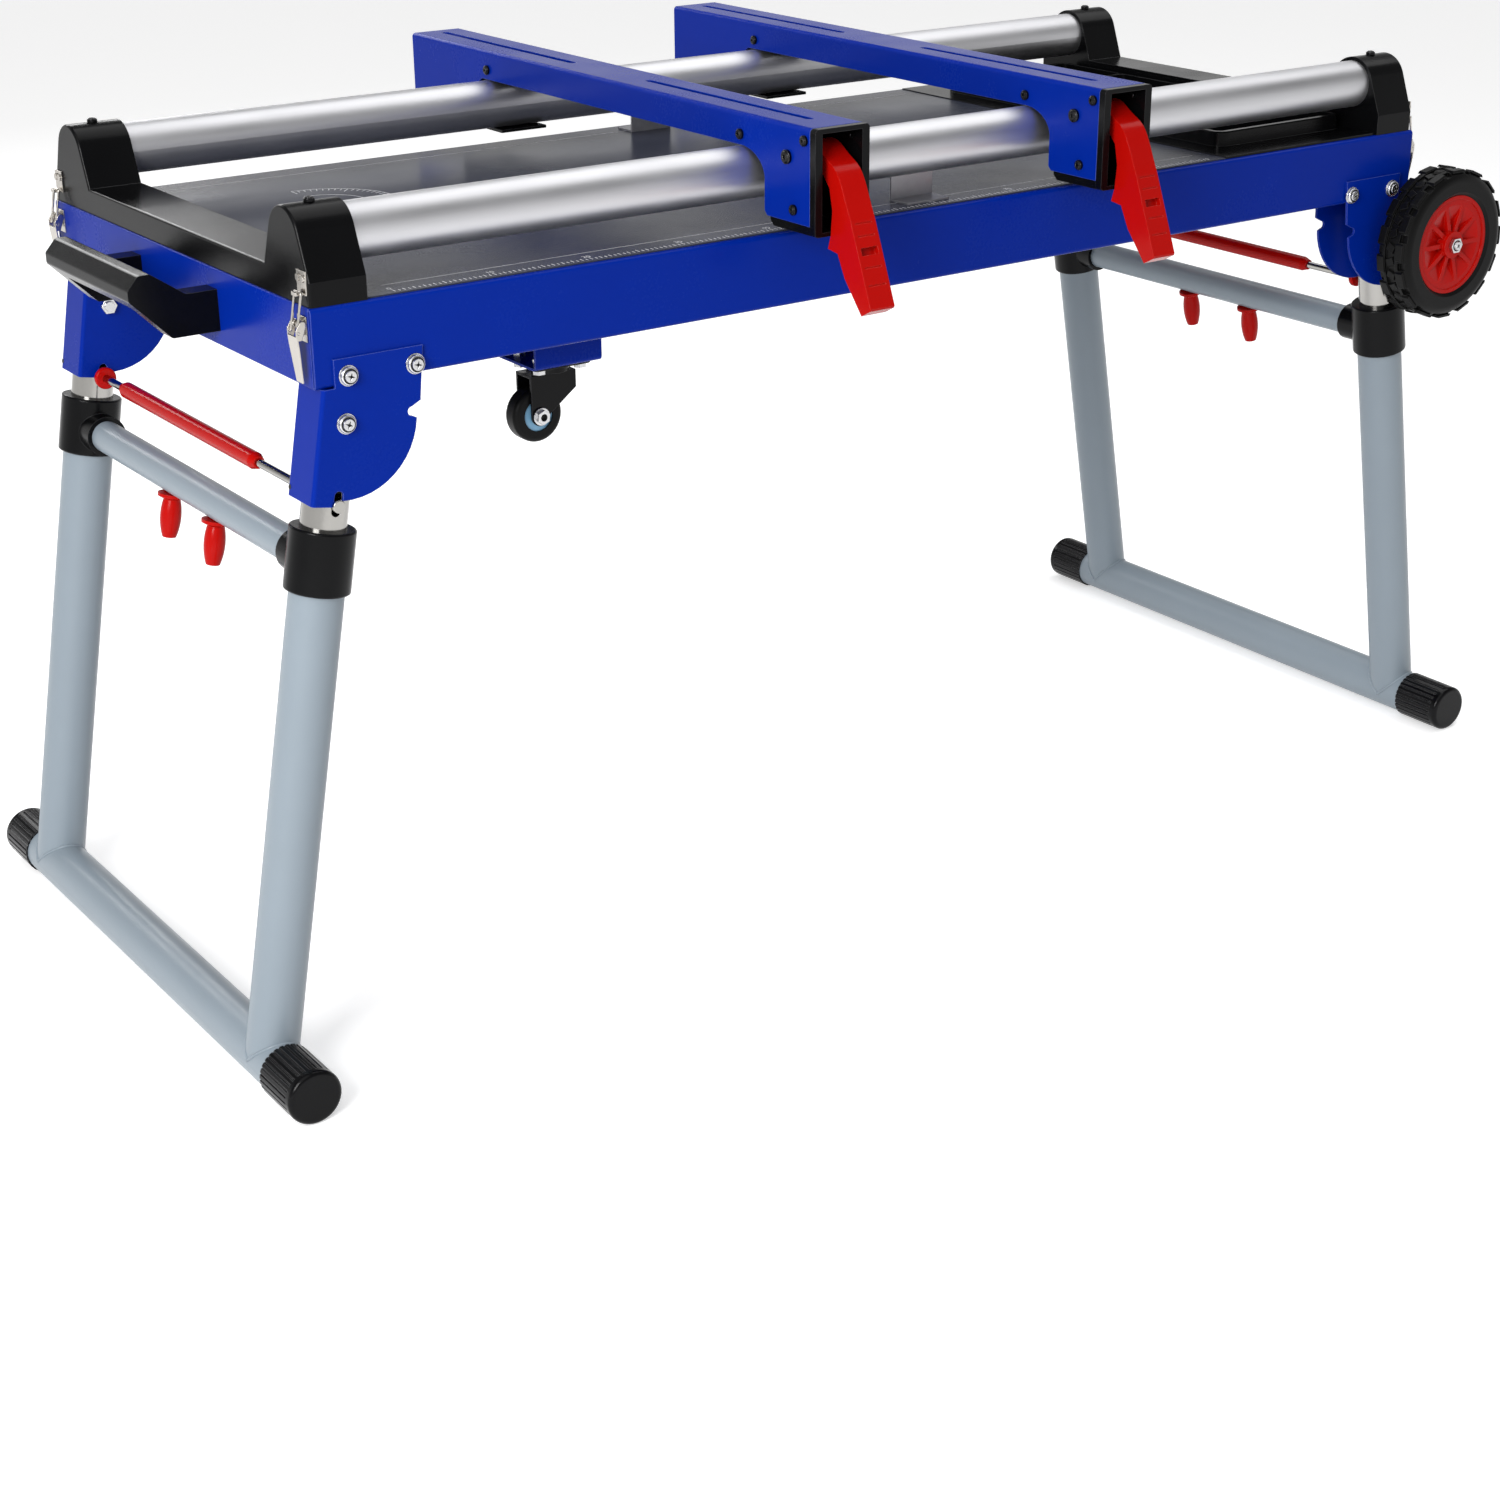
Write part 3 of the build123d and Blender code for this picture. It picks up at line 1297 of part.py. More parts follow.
# Caster mounts: channels hung under the deck, open at both ends
with BuildPart() as front_caster_mount:
    with BuildSketch(Plane.YZ.offset(-caster_x - caster_mount_length / 2)):
        with BuildLine():
            half = caster_mount_width / 2
            inside = half - caster_mount_sheet
            floor_z = caster_mount_z + caster_mount_sheet
            Polyline(
                (-caster_y - half, table_top),
                (-caster_y - half, caster_mount_z),
                (-caster_y + half, caster_mount_z),
                (-caster_y + half, table_top),
                (-caster_y + inside, table_top),
                (-caster_y + inside, floor_z),
                (-caster_y - inside, floor_z),
                (-caster_y - inside, table_top),
                close=True,
            )
        make_face()
    extrude(amount=caster_mount_length)
    low_bends = front_caster_mount.edges().filter_by(Axis.X).group_by(Axis.Z)[0]
    fillet(low_bends, caster_mount_bend)
    with BuildSketch(Plane.XY.offset(caster_mount_z - cut_extra)):
        with Locations((-caster_x, -caster_y)):
            with GridLocations(2 * caster_bolt_x, 2 * caster_bolt_y, 2, 2):
                Circle(caster_bolt_od / 2 + seat_gap)
    extrude(amount=caster_mount_sheet + 2 * cut_extra, mode=Mode.SUBTRACT)
pieces["caster_mounts"] = with_mirror(front_caster_mount, Plane.XZ)

# Fixed caster plates, each with the post that the fork turns on
plate_low = caster_mount_z - caster_plate_sheet
with BuildPart() as front_caster_plate:
    with BuildSketch(Plane.XY.offset(plate_low)):
        with Locations((-caster_x, -caster_y)):
            RectangleRounded(caster_plate_length, caster_plate_width, caster_mount_bend)
            with GridLocations(2 * caster_bolt_x, 2 * caster_bolt_y, 2, 2):
                Circle(caster_bolt_od / 2 + seat_gap, mode=Mode.SUBTRACT)
    extrude(amount=caster_plate_sheet)
    with BuildSketch(Plane.XY.offset(plate_low)):
        with Locations((-caster_x, -caster_y)):
            Circle(caster_post_od / 2)
    extrude(amount=-caster_race - caster_fork_sheet)
pieces["caster_plates"] = with_mirror(front_caster_plate, Plane.XZ)

# Caster fork: a round race over a bent plate with two cheeks, and the nuts of its axle
race_top = plate_low - rest_gap
race_low = race_top - caster_race
wheel_x = -caster_x - caster_trail
cheek_y = caster_wheel_width / 2 + caster_fork_gap
cheek_outer = cheek_y + caster_fork_sheet
with BuildPart() as front_caster_fork:
    with BuildSketch(Plane.XY.offset(race_low)):
        with Locations((-caster_x, -caster_y)):
            Circle(caster_race_od / 2)
    extrude(amount=caster_race)
    fillet(front_caster_fork.edges().group_by(Axis.Z)[-1], caster_race_edge)
    with BuildSketch(Plane.XZ.offset(caster_y - cheek_outer)):
        with BuildLine():
            lead_x = -caster_x + caster_fork_lead
            tail_x = wheel_x - caster_fork_tail
            Polyline(
                (tail_x, race_low),
                (lead_x, race_low),
                (lead_x, race_low - caster_fork_lead_drop),
                (wheel_x + caster_fork_tail, caster_axle_z),
                (tail_x, caster_axle_z),
                close=True,
            )
        make_face()
        with Locations((wheel_x, caster_axle_z)):
            Circle(caster_fork_tail)
    extrude(amount=2 * cheek_outer)
    with BuildSketch(Plane.XZ.offset(caster_y - cheek_y)):
        below = race_low - caster_fork_sheet - caster_height
        with Locations((wheel_x, below)):
            Rectangle(2 * caster_mount_length, 2 * caster_height)
    extrude(amount=2 * cheek_y, mode=Mode.SUBTRACT)
    for nut_y in (caster_y + cheek_y, caster_y - cheek_outer - caster_nut):
        with BuildSketch(Plane.XZ.offset(nut_y)):
            with Locations((wheel_x, caster_axle_z)):
                Circle(caster_nut_od / 2)
        extrude(amount=caster_fork_sheet + caster_nut)
    with BuildSketch(Plane.XZ.offset(caster_y - cheek_outer)):
        with Locations((wheel_x, caster_axle_z)):
            Circle(caster_axle_od / 2)
    extrude(amount=2 * cheek_outer)
    with BuildSketch(Plane.XY.offset(race_top)):
        with Locations((-caster_x, -caster_y)):
            Circle(caster_post_od / 2 + slide_gap)
    extrude(amount=-caster_race - caster_fork_sheet - cut_extra, mode=Mode.SUBTRACT)

# Caster wheel: a black tyre on a pale core
with BuildPart() as front_caster_tyre:
    with BuildSketch(Plane.XZ.offset(caster_y - caster_wheel_width / 2)):
        with Locations((wheel_x, caster_axle_z)):
            Circle(caster_wheel_od / 2)
    extrude(amount=caster_wheel_width)
    fillet(front_caster_tyre.edges().filter_by(GeomType.CIRCLE), caster_wheel_edge)
    with BuildSketch(Plane.XZ.offset(caster_y - caster_wheel_width)):
        with Locations((wheel_x, caster_axle_z)):
            Circle(caster_core_od / 2 + slide_gap)
    extrude(amount=2 * caster_wheel_width, mode=Mode.SUBTRACT)

with BuildPart() as front_caster_core:
    core_width = caster_wheel_width - 2 * caster_core_inset
    with BuildSketch(Plane.XZ.offset(caster_y - core_width / 2)):
        with Locations((wheel_x, caster_axle_z)):
            Circle(caster_core_od / 2)
            Circle(caster_axle_od / 2 + slide_gap, mode=Mode.SUBTRACT)
    extrude(amount=core_width)

for name, piece in (
    ("caster_fork", front_caster_fork),
    ("caster_tyre", front_caster_tyre),
    ("caster_core", front_caster_core),
):
    pieces[f"front_{name}"] = piece
    pieces[f"back_{name}"] = mirrored(piece, Plane.XZ)

# Pull handle on the left end panel: two arms that rise to a slanted grip
with BuildPart() as pull_handle:
    with BuildSketch(Plane.XZ.offset(-handle_half_width)):
        with BuildLine():
            face = -end_x
            reach = handle_reach
            Polyline(
                (face, table_top - handle_root_top),
                (face - handle_elbow, table_top - handle_root_top),
                (face - handle_back, table_top + handle_top),
                (face - handle_front, table_top + handle_top),
                (face - reach, table_top - handle_front_drop),
                (face - reach, table_top - handle_root_top),
                (face - handle_heel, table_top - handle_root_bottom),
                (face, table_top - handle_root_bottom),
                close=True,
            )
        make_face()
    extrude(amount=2 * handle_half_width)
    fillet(pull_handle.edges().filter_by(Axis.Y).filter_by(
        lambda edge: edge.center().X < face - cut_extra), handle_edge)
    # The finger window leaves a grip of even thickness across the slanted arms
    with BuildSketch(Plane.XZ.offset(-handle_half_width + handle_arm)):
        with BuildLine():
            window = reach - 2 * handle_top - handle_grip
            Polyline(
                (face + cut_extra, table_top + window + cut_extra),
                (face + cut_extra, table_top - 2 * reach),
                (face - window - 2 * reach, table_top - 2 * reach),
                close=True,
            )
        make_face()
    extrude(amount=2 * (handle_half_width - handle_arm), mode=Mode.SUBTRACT)
pieces["pull_handle"] = pull_handle

# Zinc bolts of the table: leg brackets, leg pivots, wheel axles and caster plates
outer_plate_y = side_y + bracket_sheet
with BuildPart() as right_front_bolts:
    with BuildSketch(Plane.XZ.offset(side_y - apron_sheet - bolt_nut - bolt_end)):
        with Locations(*bracket_bolts()):
            Circle(bracket_bolt_od / 2)
    extrude(amount=bracket_sheet + apron_sheet + bolt_nut + bolt_end)
    with BuildSketch(Plane.XZ.offset(side_y - apron_sheet - bolt_nut)):
        with Locations(*bracket_bolts()):
            RegularPolygon(bolt_nut_od / 2, hex_sides)
    extrude(amount=bolt_nut)
    with BuildSketch(Plane.XZ.offset(inner_plate_y - bolt_nut - bolt_end)):
        with Locations((pivot_x, pivot_z)):
            Circle(pivot_bolt_od / 2)
    extrude(amount=outer_plate_y - inner_plate_y + bolt_nut + bolt_end)
    with BuildSketch(Plane.XZ.offset(inner_plate_y - bolt_nut)):
        with Locations((pivot_x, pivot_z)):
            RegularPolygon(pivot_nut_od / 2, hex_sides)
    extrude(amount=bolt_nut)
    with BuildSketch(Plane.XZ.offset(outer_plate_y)):
        with Locations(*bracket_bolts(), (pivot_x, pivot_z)):
            Circle(bolt_head_od / 2)
    extrude(amount=bolt_head)
    fillet(right_front_bolts.edges().group_by(Axis.Y)[0], bolt_head_edge)

hub_end_y = wheel_outer_y - hub_inset + rest_gap
with BuildPart() as front_wheel_axle:
    with BuildSketch(Plane.XZ.offset(side_y - bolt_nut - bolt_end)):
        with Locations((axle_x, axle_z)):
            Circle(axle_od / 2)
    extrude(amount=hub_end_y - side_y + bolt_nut + bolt_end)
    with BuildSketch(Plane.XZ.offset(side_y - bolt_nut)):
        with Locations((axle_x, axle_z)):
            RegularPolygon(axle_nut_od / 2, hex_sides)
    extrude(amount=bolt_nut)
    with BuildSketch(Plane.XZ.offset(outer_plate_y)):
        with Locations((axle_x, axle_z)):
            Circle(axle_spacer_od / 2)
    extrude(amount=wheel_inner_y + hub_inset - rest_gap - outer_plate_y)
    with BuildSketch(Plane.XZ.offset(hub_end_y)):
        with Locations((axle_x, axle_z)):
            RegularPolygon(axle_head_od / 2, hex_sides)
    extrude(amount=bolt_head)

with BuildPart() as front_caster_bolts:
    with BuildSketch(Plane.XY.offset(plate_low)):
        with Locations((-caster_x, -caster_y)):
            with GridLocations(2 * caster_bolt_x, 2 * caster_bolt_y, 2, 2):
                Circle(caster_bolt_od / 2)
    extrude(amount=caster_plate_sheet + caster_mount_sheet + bolt_nut + bolt_end)
    with BuildSketch(Plane.XY.offset(plate_low)):
        with Locations((-caster_x, -caster_y)):
            with GridLocations(2 * caster_bolt_x, 2 * caster_bolt_y, 2, 2):
                RegularPolygon(caster_bolt_head_od / 2, hex_sides)
    extrude(amount=-hex_head)
    with BuildSketch(Plane.XY.offset(caster_mount_z + caster_mount_sheet)):
        with Locations((-caster_x, -caster_y)):
            with GridLocations(2 * caster_bolt_x, 2 * caster_bolt_y, 2, 2):
                RegularPolygon(caster_bolt_head_od / 2, hex_sides)
    extrude(amount=bolt_nut)

with BuildPart() as table_bolts:
    add(with_mirror(right_front_bolts, Plane.XZ).part)
    mirror(about=Plane.YZ)
    add(with_mirror(front_wheel_axle, Plane.XZ).part)
    add(with_mirror(front_caster_bolts, Plane.XZ).part)
pieces["table_bolts"] = table_bolts


# Latches: a base and a keeper, a lever on the base, and a wire bail on the lever
def latch_point(out, rise):
    """X and Z of a point measured outward from the right end panel and up from the top."""
    return (end_x + out, table_top + rise)


latch_pivot = latch_point(latch_pivot_out, -latch_pivot_drop)
bail_pivot = latch_point(bail_pivot_out, -bail_pivot_drop)
bail_top = latch_point(bail_top_out, keeper_bottom + keeper_sheet + bail_wire / 2 + slide_gap)
keeper_out = -bridge_inset
with BuildPart() as right_front_latch_plates:
    with BuildSketch(Plane.XZ.offset(latch_y - latch_base_half_width)):
        with BuildLine():
            Polyline(
                latch_point(0, -latch_base_top),
                latch_point(0, -latch_base_bottom),
                latch_point(latch_sheet, -latch_base_bottom),
                latch_point(latch_sheet, -latch_base_top),
                close=True,
            )
        make_face()
    extrude(amount=2 * latch_base_half_width)
    ear_outer = latch_ear_inner + latch_ear_sheet
    for ear_y in (latch_y + latch_ear_inner, latch_y - ear_outer):
        with BuildSketch(Plane.XZ.offset(ear_y)):
            with Locations(latch_pivot):
                Circle(latch_ear)
            with BuildLine():
                Polyline(
                    (latch_pivot[0], latch_pivot[1] - latch_ear),
                    (latch_pivot[0], latch_pivot[1] + latch_ear),
                    (end_x + latch_sheet / 2, latch_pivot[1] + latch_ear),
                    (end_x + latch_sheet / 2, latch_pivot[1] - latch_ear),
                    close=True,
                )
            make_face()
            with Locations(latch_pivot):
                Circle(latch_pin_od / 2 + slide_gap, mode=Mode.SUBTRACT)
        extrude(amount=latch_ear_sheet)
    with BuildSketch(Plane.XZ.offset(latch_y - latch_base_half_width)):
        with BuildLine():
            Polyline(
                latch_point(keeper_out, keeper_bottom),
                latch_point(keeper_out + keeper_sheet, keeper_bottom),
                latch_point(keeper_out + keeper_sheet, keeper_top),
                latch_point(keeper_out, keeper_top),
                close=True,
            )
        make_face()
    extrude(amount=2 * latch_base_half_width)
    with BuildSketch(Plane.XZ.offset(latch_y - keeper_hook_half_width)):
        with BuildLine():
            hook_top = keeper_bottom + keeper_sheet
            hook_lip_out = keeper_hook_out - keeper_sheet
            Polyline(
                latch_point(keeper_out + keeper_sheet / 2, keeper_bottom),
                latch_point(keeper_hook_out, keeper_bottom),
                latch_point(keeper_hook_out, hook_top + keeper_lip),
                latch_point(hook_lip_out, hook_top + keeper_lip),
                latch_point(hook_lip_out, hook_top),
                latch_point(keeper_out + keeper_sheet / 2, hook_top),
                close=True,
            )
        make_face()
    extrude(amount=2 * keeper_hook_half_width)
    with BuildSketch(Plane.YZ.offset(end_x + keeper_out + keeper_sheet)):
        rivet_z = table_top + rivet_rise
        with Locations((-latch_y - rivet_place, rivet_z), (-latch_y + rivet_place, rivet_z)):
            Circle(rivet_od / 2)
    extrude(amount=rivet_head)

with BuildPart() as latch_plates:
    add(with_mirror(right_front_latch_plates, Plane.XZ).part)
    mirror(about=Plane.YZ)
pieces["latch_plates"] = latch_plates

with BuildPart() as right_front_latch_lever:
    with BuildSketch(Plane.XZ.offset(latch_y - latch_half_width)):
        with BuildLine():
            Polyline(
                latch_point(latch_plate_out, -latch_plate_top),
                latch_point(latch_tip_out, -latch_tip_drop),
                latch_point(latch_tip_out + latch_sheet, -latch_tip_drop),
                latch_point(latch_plate_out + latch_sheet, -latch_plate_top),
                close=True,
            )
        make_face()
    extrude(amount=2 * latch_half_width)
    # The plate tapers towards its tip
    with BuildSketch(Plane.YZ.offset(end_x)):
        for side in (-1, 1):
            with BuildLine():
                Polyline(
                    (-latch_y + side * latch_half_width, table_top - latch_plate_top - latch_half_width),
                    (-latch_y + side * latch_tip_half_width, table_top - latch_tip_drop - cut_extra),
                    (-latch_y + side * 2 * latch_half_width, table_top - latch_tip_drop - cut_extra),
                    close=True,
                )
            make_face()
    extrude(amount=latch_plate_out + cut_extra, mode=Mode.SUBTRACT)
    for cheek_y in (latch_y - latch_half_width, latch_y + latch_half_width - latch_cheek):
        with BuildSketch(Plane.XZ.offset(cheek_y)):
            with Locations(latch_pivot):
                Circle(latch_ear)
            with BuildLine():
                slope = latch_ear * latch_cheek_share
                Polyline(
                    (latch_pivot[0] + slope, latch_pivot[1] + slope),
                    (latch_pivot[0] - slope, latch_pivot[1] - slope),
                    latch_point(latch_plate_out - latch_ear, -latch_plate_top - latch_ear),
                    latch_point(latch_plate_out, -latch_plate_top - latch_ear),
                    latch_point(latch_plate_out + latch_sheet, -latch_plate_top),
                    (bail_pivot[0] + slope, bail_pivot[1] + slope),
                    close=True,
                )
            make_face()
            with Locations(bail_pivot):
                Circle(bail_wire / 2 + slide_gap, mode=Mode.SUBTRACT)
        extrude(amount=latch_cheek)
    with BuildSketch(Plane.XZ.offset(latch_y - latch_half_width)):
        with Locations(latch_pivot):
            Circle(latch_pin_od / 2)
    extrude(amount=2 * latch_half_width)

with BuildPart() as right_front_latch_bail:
    with BuildLine():
        loop = [
            (bail_pivot[0], -latch_y - latch_half_width, bail_pivot[1]),
            (bail_pivot[0], -latch_y - bail_half_width, bail_pivot[1]),
            (bail_top[0], -latch_y - bail_half_width, bail_top[1]),
            (bail_top[0], -latch_y + bail_half_width, bail_top[1]),
            (bail_pivot[0], -latch_y + bail_half_width, bail_pivot[1]),
            (bail_pivot[0], -latch_y + latch_half_width, bail_pivot[1]),
        ]
        FilletPolyline(*loop, radius=bail_corner)
    with BuildSketch(Plane(origin=loop[0], z_dir=(0, 1, 0))):
        Circle(bail_wire / 2)
    sweep()

for name, piece in (("latch_lever", right_front_latch_lever), ("latch_bail", right_front_latch_bail)):
    pieces[f"right_front_{name}"] = piece
    pieces[f"right_back_{name}"] = mirrored(piece, Plane.XZ)
    pieces[f"left_front_{name}"] = mirrored(piece, Plane.YZ)
    pieces[f"left_back_{name}"] = mirrored(mirrored(piece, Plane.YZ), Plane.XZ)

os.makedirs("parts", exist_ok=True)
for name, piece in pieces.items():
    piece.part.label = name
    export_step(piece.part, f"parts/{name}.step")
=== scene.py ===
import json
import math

import bmesh
import bpy
from mathutils import Matrix, Vector


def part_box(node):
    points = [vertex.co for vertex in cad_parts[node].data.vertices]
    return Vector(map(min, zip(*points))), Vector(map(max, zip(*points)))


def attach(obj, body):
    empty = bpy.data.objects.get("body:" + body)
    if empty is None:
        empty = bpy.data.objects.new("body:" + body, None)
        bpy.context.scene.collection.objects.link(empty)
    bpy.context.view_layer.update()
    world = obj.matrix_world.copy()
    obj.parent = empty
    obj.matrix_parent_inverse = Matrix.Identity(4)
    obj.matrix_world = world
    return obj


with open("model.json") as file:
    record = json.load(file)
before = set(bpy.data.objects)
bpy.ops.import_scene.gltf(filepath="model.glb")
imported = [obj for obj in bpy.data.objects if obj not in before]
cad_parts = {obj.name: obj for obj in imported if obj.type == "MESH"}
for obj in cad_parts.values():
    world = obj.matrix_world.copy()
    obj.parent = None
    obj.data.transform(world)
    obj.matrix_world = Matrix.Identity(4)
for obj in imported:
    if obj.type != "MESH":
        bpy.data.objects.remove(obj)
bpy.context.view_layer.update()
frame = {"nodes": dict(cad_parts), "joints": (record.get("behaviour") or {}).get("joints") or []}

# Blue sheet parts: aprons, end panels, leg brackets, caster channels and saw mounts.
# They are folded steel with a glossy powder coat, bolted and spot-welded together. The
# coat is slightly uneven and catches the light along each bend. Its edges are painted
# paler, partly as a thin coat and partly as a painted highlight.


def finish(
    name,
    colour,
    metallic=0.0,
    rough=(0.25, 0.4),
    patch=9.0,
    tone=0.08,
    grain=900.0,
    bump=0.05,
    depth=0.0004,
    stretch=(1.0, 1.0, 1.0),
    edge=None,
    edge_radius=0.0008,
    specular=0.5,
):
    """A procedural finish: patches of roughness and tone, a fine grain and paler edges, which
    are partly wear and partly a painted highlight.

    Patch and grain are the scales of two noises, and stretch pulls the grain out along a
    brushed tube. The shader rounds every edge, and paints it where an edge colour is given.
    """
    patch_detail = 5.0
    grain_detail = 3.0
    grain_share = 0.35
    smooth_at, rough_at = 0.45, 0.95
    bevel_samples = 4
    wear_and_highlight_starts, wear_and_highlight_full, most_wear_and_highlight = 0.99, 0.86, 0.75
    made = bpy.data.materials.new(name)
    made.use_nodes = True
    nodes = made.node_tree.nodes
    links = made.node_tree.links
    shader = nodes["Principled BSDF"]
    place = nodes.new("ShaderNodeTexCoord")
    stretched = nodes.new("ShaderNodeMapping")
    stretched.inputs["Scale"].default_value = stretch
    links.new(place.outputs["Object"], stretched.inputs["Vector"])

    patches = nodes.new("ShaderNodeTexNoise")
    patches.inputs["Scale"].default_value = patch
    patches.inputs["Detail"].default_value = patch_detail
    links.new(place.outputs["Object"], patches.inputs["Vector"])
    fine = nodes.new("ShaderNodeTexNoise")
    fine.inputs["Scale"].default_value = grain
    fine.inputs["Detail"].default_value = grain_detail
    links.new(stretched.outputs["Vector"], fine.inputs["Vector"])

    both = nodes.new("ShaderNodeMath")
    both.operation = "MULTIPLY_ADD"
    both.inputs[1].default_value = grain_share
    links.new(fine.outputs["Fac"], both.inputs[0])
    links.new(patches.outputs["Fac"], both.inputs[2])
    sheen = nodes.new("ShaderNodeMapRange")
    sheen.inputs["From Min"].default_value = smooth_at
    sheen.inputs["From Max"].default_value = rough_at
    sheen.inputs["To Min"].default_value = rough[0]
    sheen.inputs["To Max"].default_value = rough[1]
    links.new(both.outputs["Value"], sheen.inputs["Value"])
    links.new(sheen.outputs["Result"], shader.inputs["Roughness"])

    tint = nodes.new("ShaderNodeMix")
    tint.data_type = "RGBA"
    dark = [c * (1 - tone) for c in colour]
    light = [min(1.0, c * (1 + tone)) for c in colour]
    tint.inputs["A"].default_value = (*dark, 1.0)
    tint.inputs["B"].default_value = (*light, 1.0)
    links.new(patches.outputs["Fac"], tint.inputs["Factor"])
    shown = tint.outputs["Result"]

    rounded = nodes.new("ShaderNodeBevel")
    rounded.samples = bevel_samples
    rounded.inputs["Radius"].default_value = edge_radius
    # Edge colour: mixed in where the rounded normal leaves the flat one, partly as wear and
    # partly as a painted highlight along every edge.
    if edge:
        flat = nodes.new("ShaderNodeNewGeometry")
        across = nodes.new("ShaderNodeVectorMath")
        across.operation = "DOT_PRODUCT"
        links.new(rounded.outputs["Normal"], across.inputs[0])
        links.new(flat.outputs["Normal"], across.inputs[1])
        mask = nodes.new("ShaderNodeMapRange")
        mask.inputs["From Min"].default_value = wear_and_highlight_starts
        mask.inputs["From Max"].default_value = wear_and_highlight_full
        mask.inputs["To Min"].default_value = 0.0
        mask.inputs["To Max"].default_value = most_wear_and_highlight
        links.new(across.outputs["Value"], mask.inputs["Value"])
        uneven = nodes.new("ShaderNodeMath")
        uneven.operation = "MULTIPLY"
        links.new(mask.outputs["Result"], uneven.inputs[0])
        links.new(patches.outputs["Fac"], uneven.inputs[1])
        edge_wear_and_highlight = nodes.new("ShaderNodeMix")
        edge_wear_and_highlight.data_type = "RGBA"
        edge_wear_and_highlight.inputs["B"].default_value = (*edge, 1.0)
        links.new(uneven.outputs["Value"], edge_wear_and_highlight.inputs["Factor"])
        links.new(shown, edge_wear_and_highlight.inputs["A"])
        shown = edge_wear_and_highlight.outputs["Result"]
    links.new(shown, shader.inputs["Base Color"])

    relief = nodes.new("ShaderNodeBump")
    relief.inputs["Strength"].default_value = bump
    relief.inputs["Distance"].default_value = depth
    links.new(fine.outputs["Fac"], relief.inputs["Height"])
    links.new(rounded.outputs["Normal"], relief.inputs["Normal"])
    links.new(relief.outputs["Normal"], shader.inputs["Normal"])

    shader.inputs["Metallic"].default_value = metallic
    shader.inputs["Specular IOR Level"].default_value = specular
    return made


def dress(material, *names):
    """Gives the material to every slot of these frame nodes."""
    for node_name in names:
        for slot in frame["nodes"][node_name].material_slots:
            slot.material = material


blue_paint = finish(
    "blue_paint",
    (0.0004, 0.018, 0.265),
    rough=(0.2, 0.32),
    tone=0.08,
    grain=380.0,
    bump=0.04,
    edge=(0.3, 0.38, 0.85),
    edge_radius=0.001,
    specular=0.06,
)
dress(
    blue_paint,
    "front_apron",
    "back_apron",
    "left_end_panel",
    "right_end_panel",
    "leg_brackets",
    "caster_mounts",
    "left_mount_bar",
    "right_mount_bar",
)

# Table bolts: pressed steel with a bright zinc plating. They hold the leg brackets and
# the caster plates, and are the pivots of the legs and the axles of the wheels.
zinc = finish(
    "zinc",
    (0.62, 0.62, 0.63),
    metallic=1.0,
    rough=(0.14, 0.36),
    patch=60.0,
    tone=0.14,
    grain=900.0,
    bump=0.08,
)
dress(zinc, "table_bolts")

# Bracket bolts: two hold each leg bracket to its apron and a third is the leg's pivot. A
# washer lies under each flat round head, and a cross recess is pressed in its top.


def wire(tree, giver, outlet, taker, inlet):
    """Links an output to an input, both by name."""
    tree.links.new(giver.outputs[outlet], taker.inputs[inlet])


def open_tree(name, sizes):
    """An empty Geometry Nodes tree with a named input for each size."""
    tree = bpy.data.node_groups.new(name, "GeometryNodeTree")
    face = tree.interface
    face.new_socket("Geometry", in_out="INPUT", socket_type="NodeSocketGeometry")
    for label, kind in sizes.items():
        face.new_socket(label, in_out="INPUT", socket_type=kind)
    face.new_socket("Material", in_out="INPUT", socket_type="NodeSocketMaterial")
    face.new_socket("Geometry", in_out="OUTPUT", socket_type="NodeSocketGeometry")
    return tree


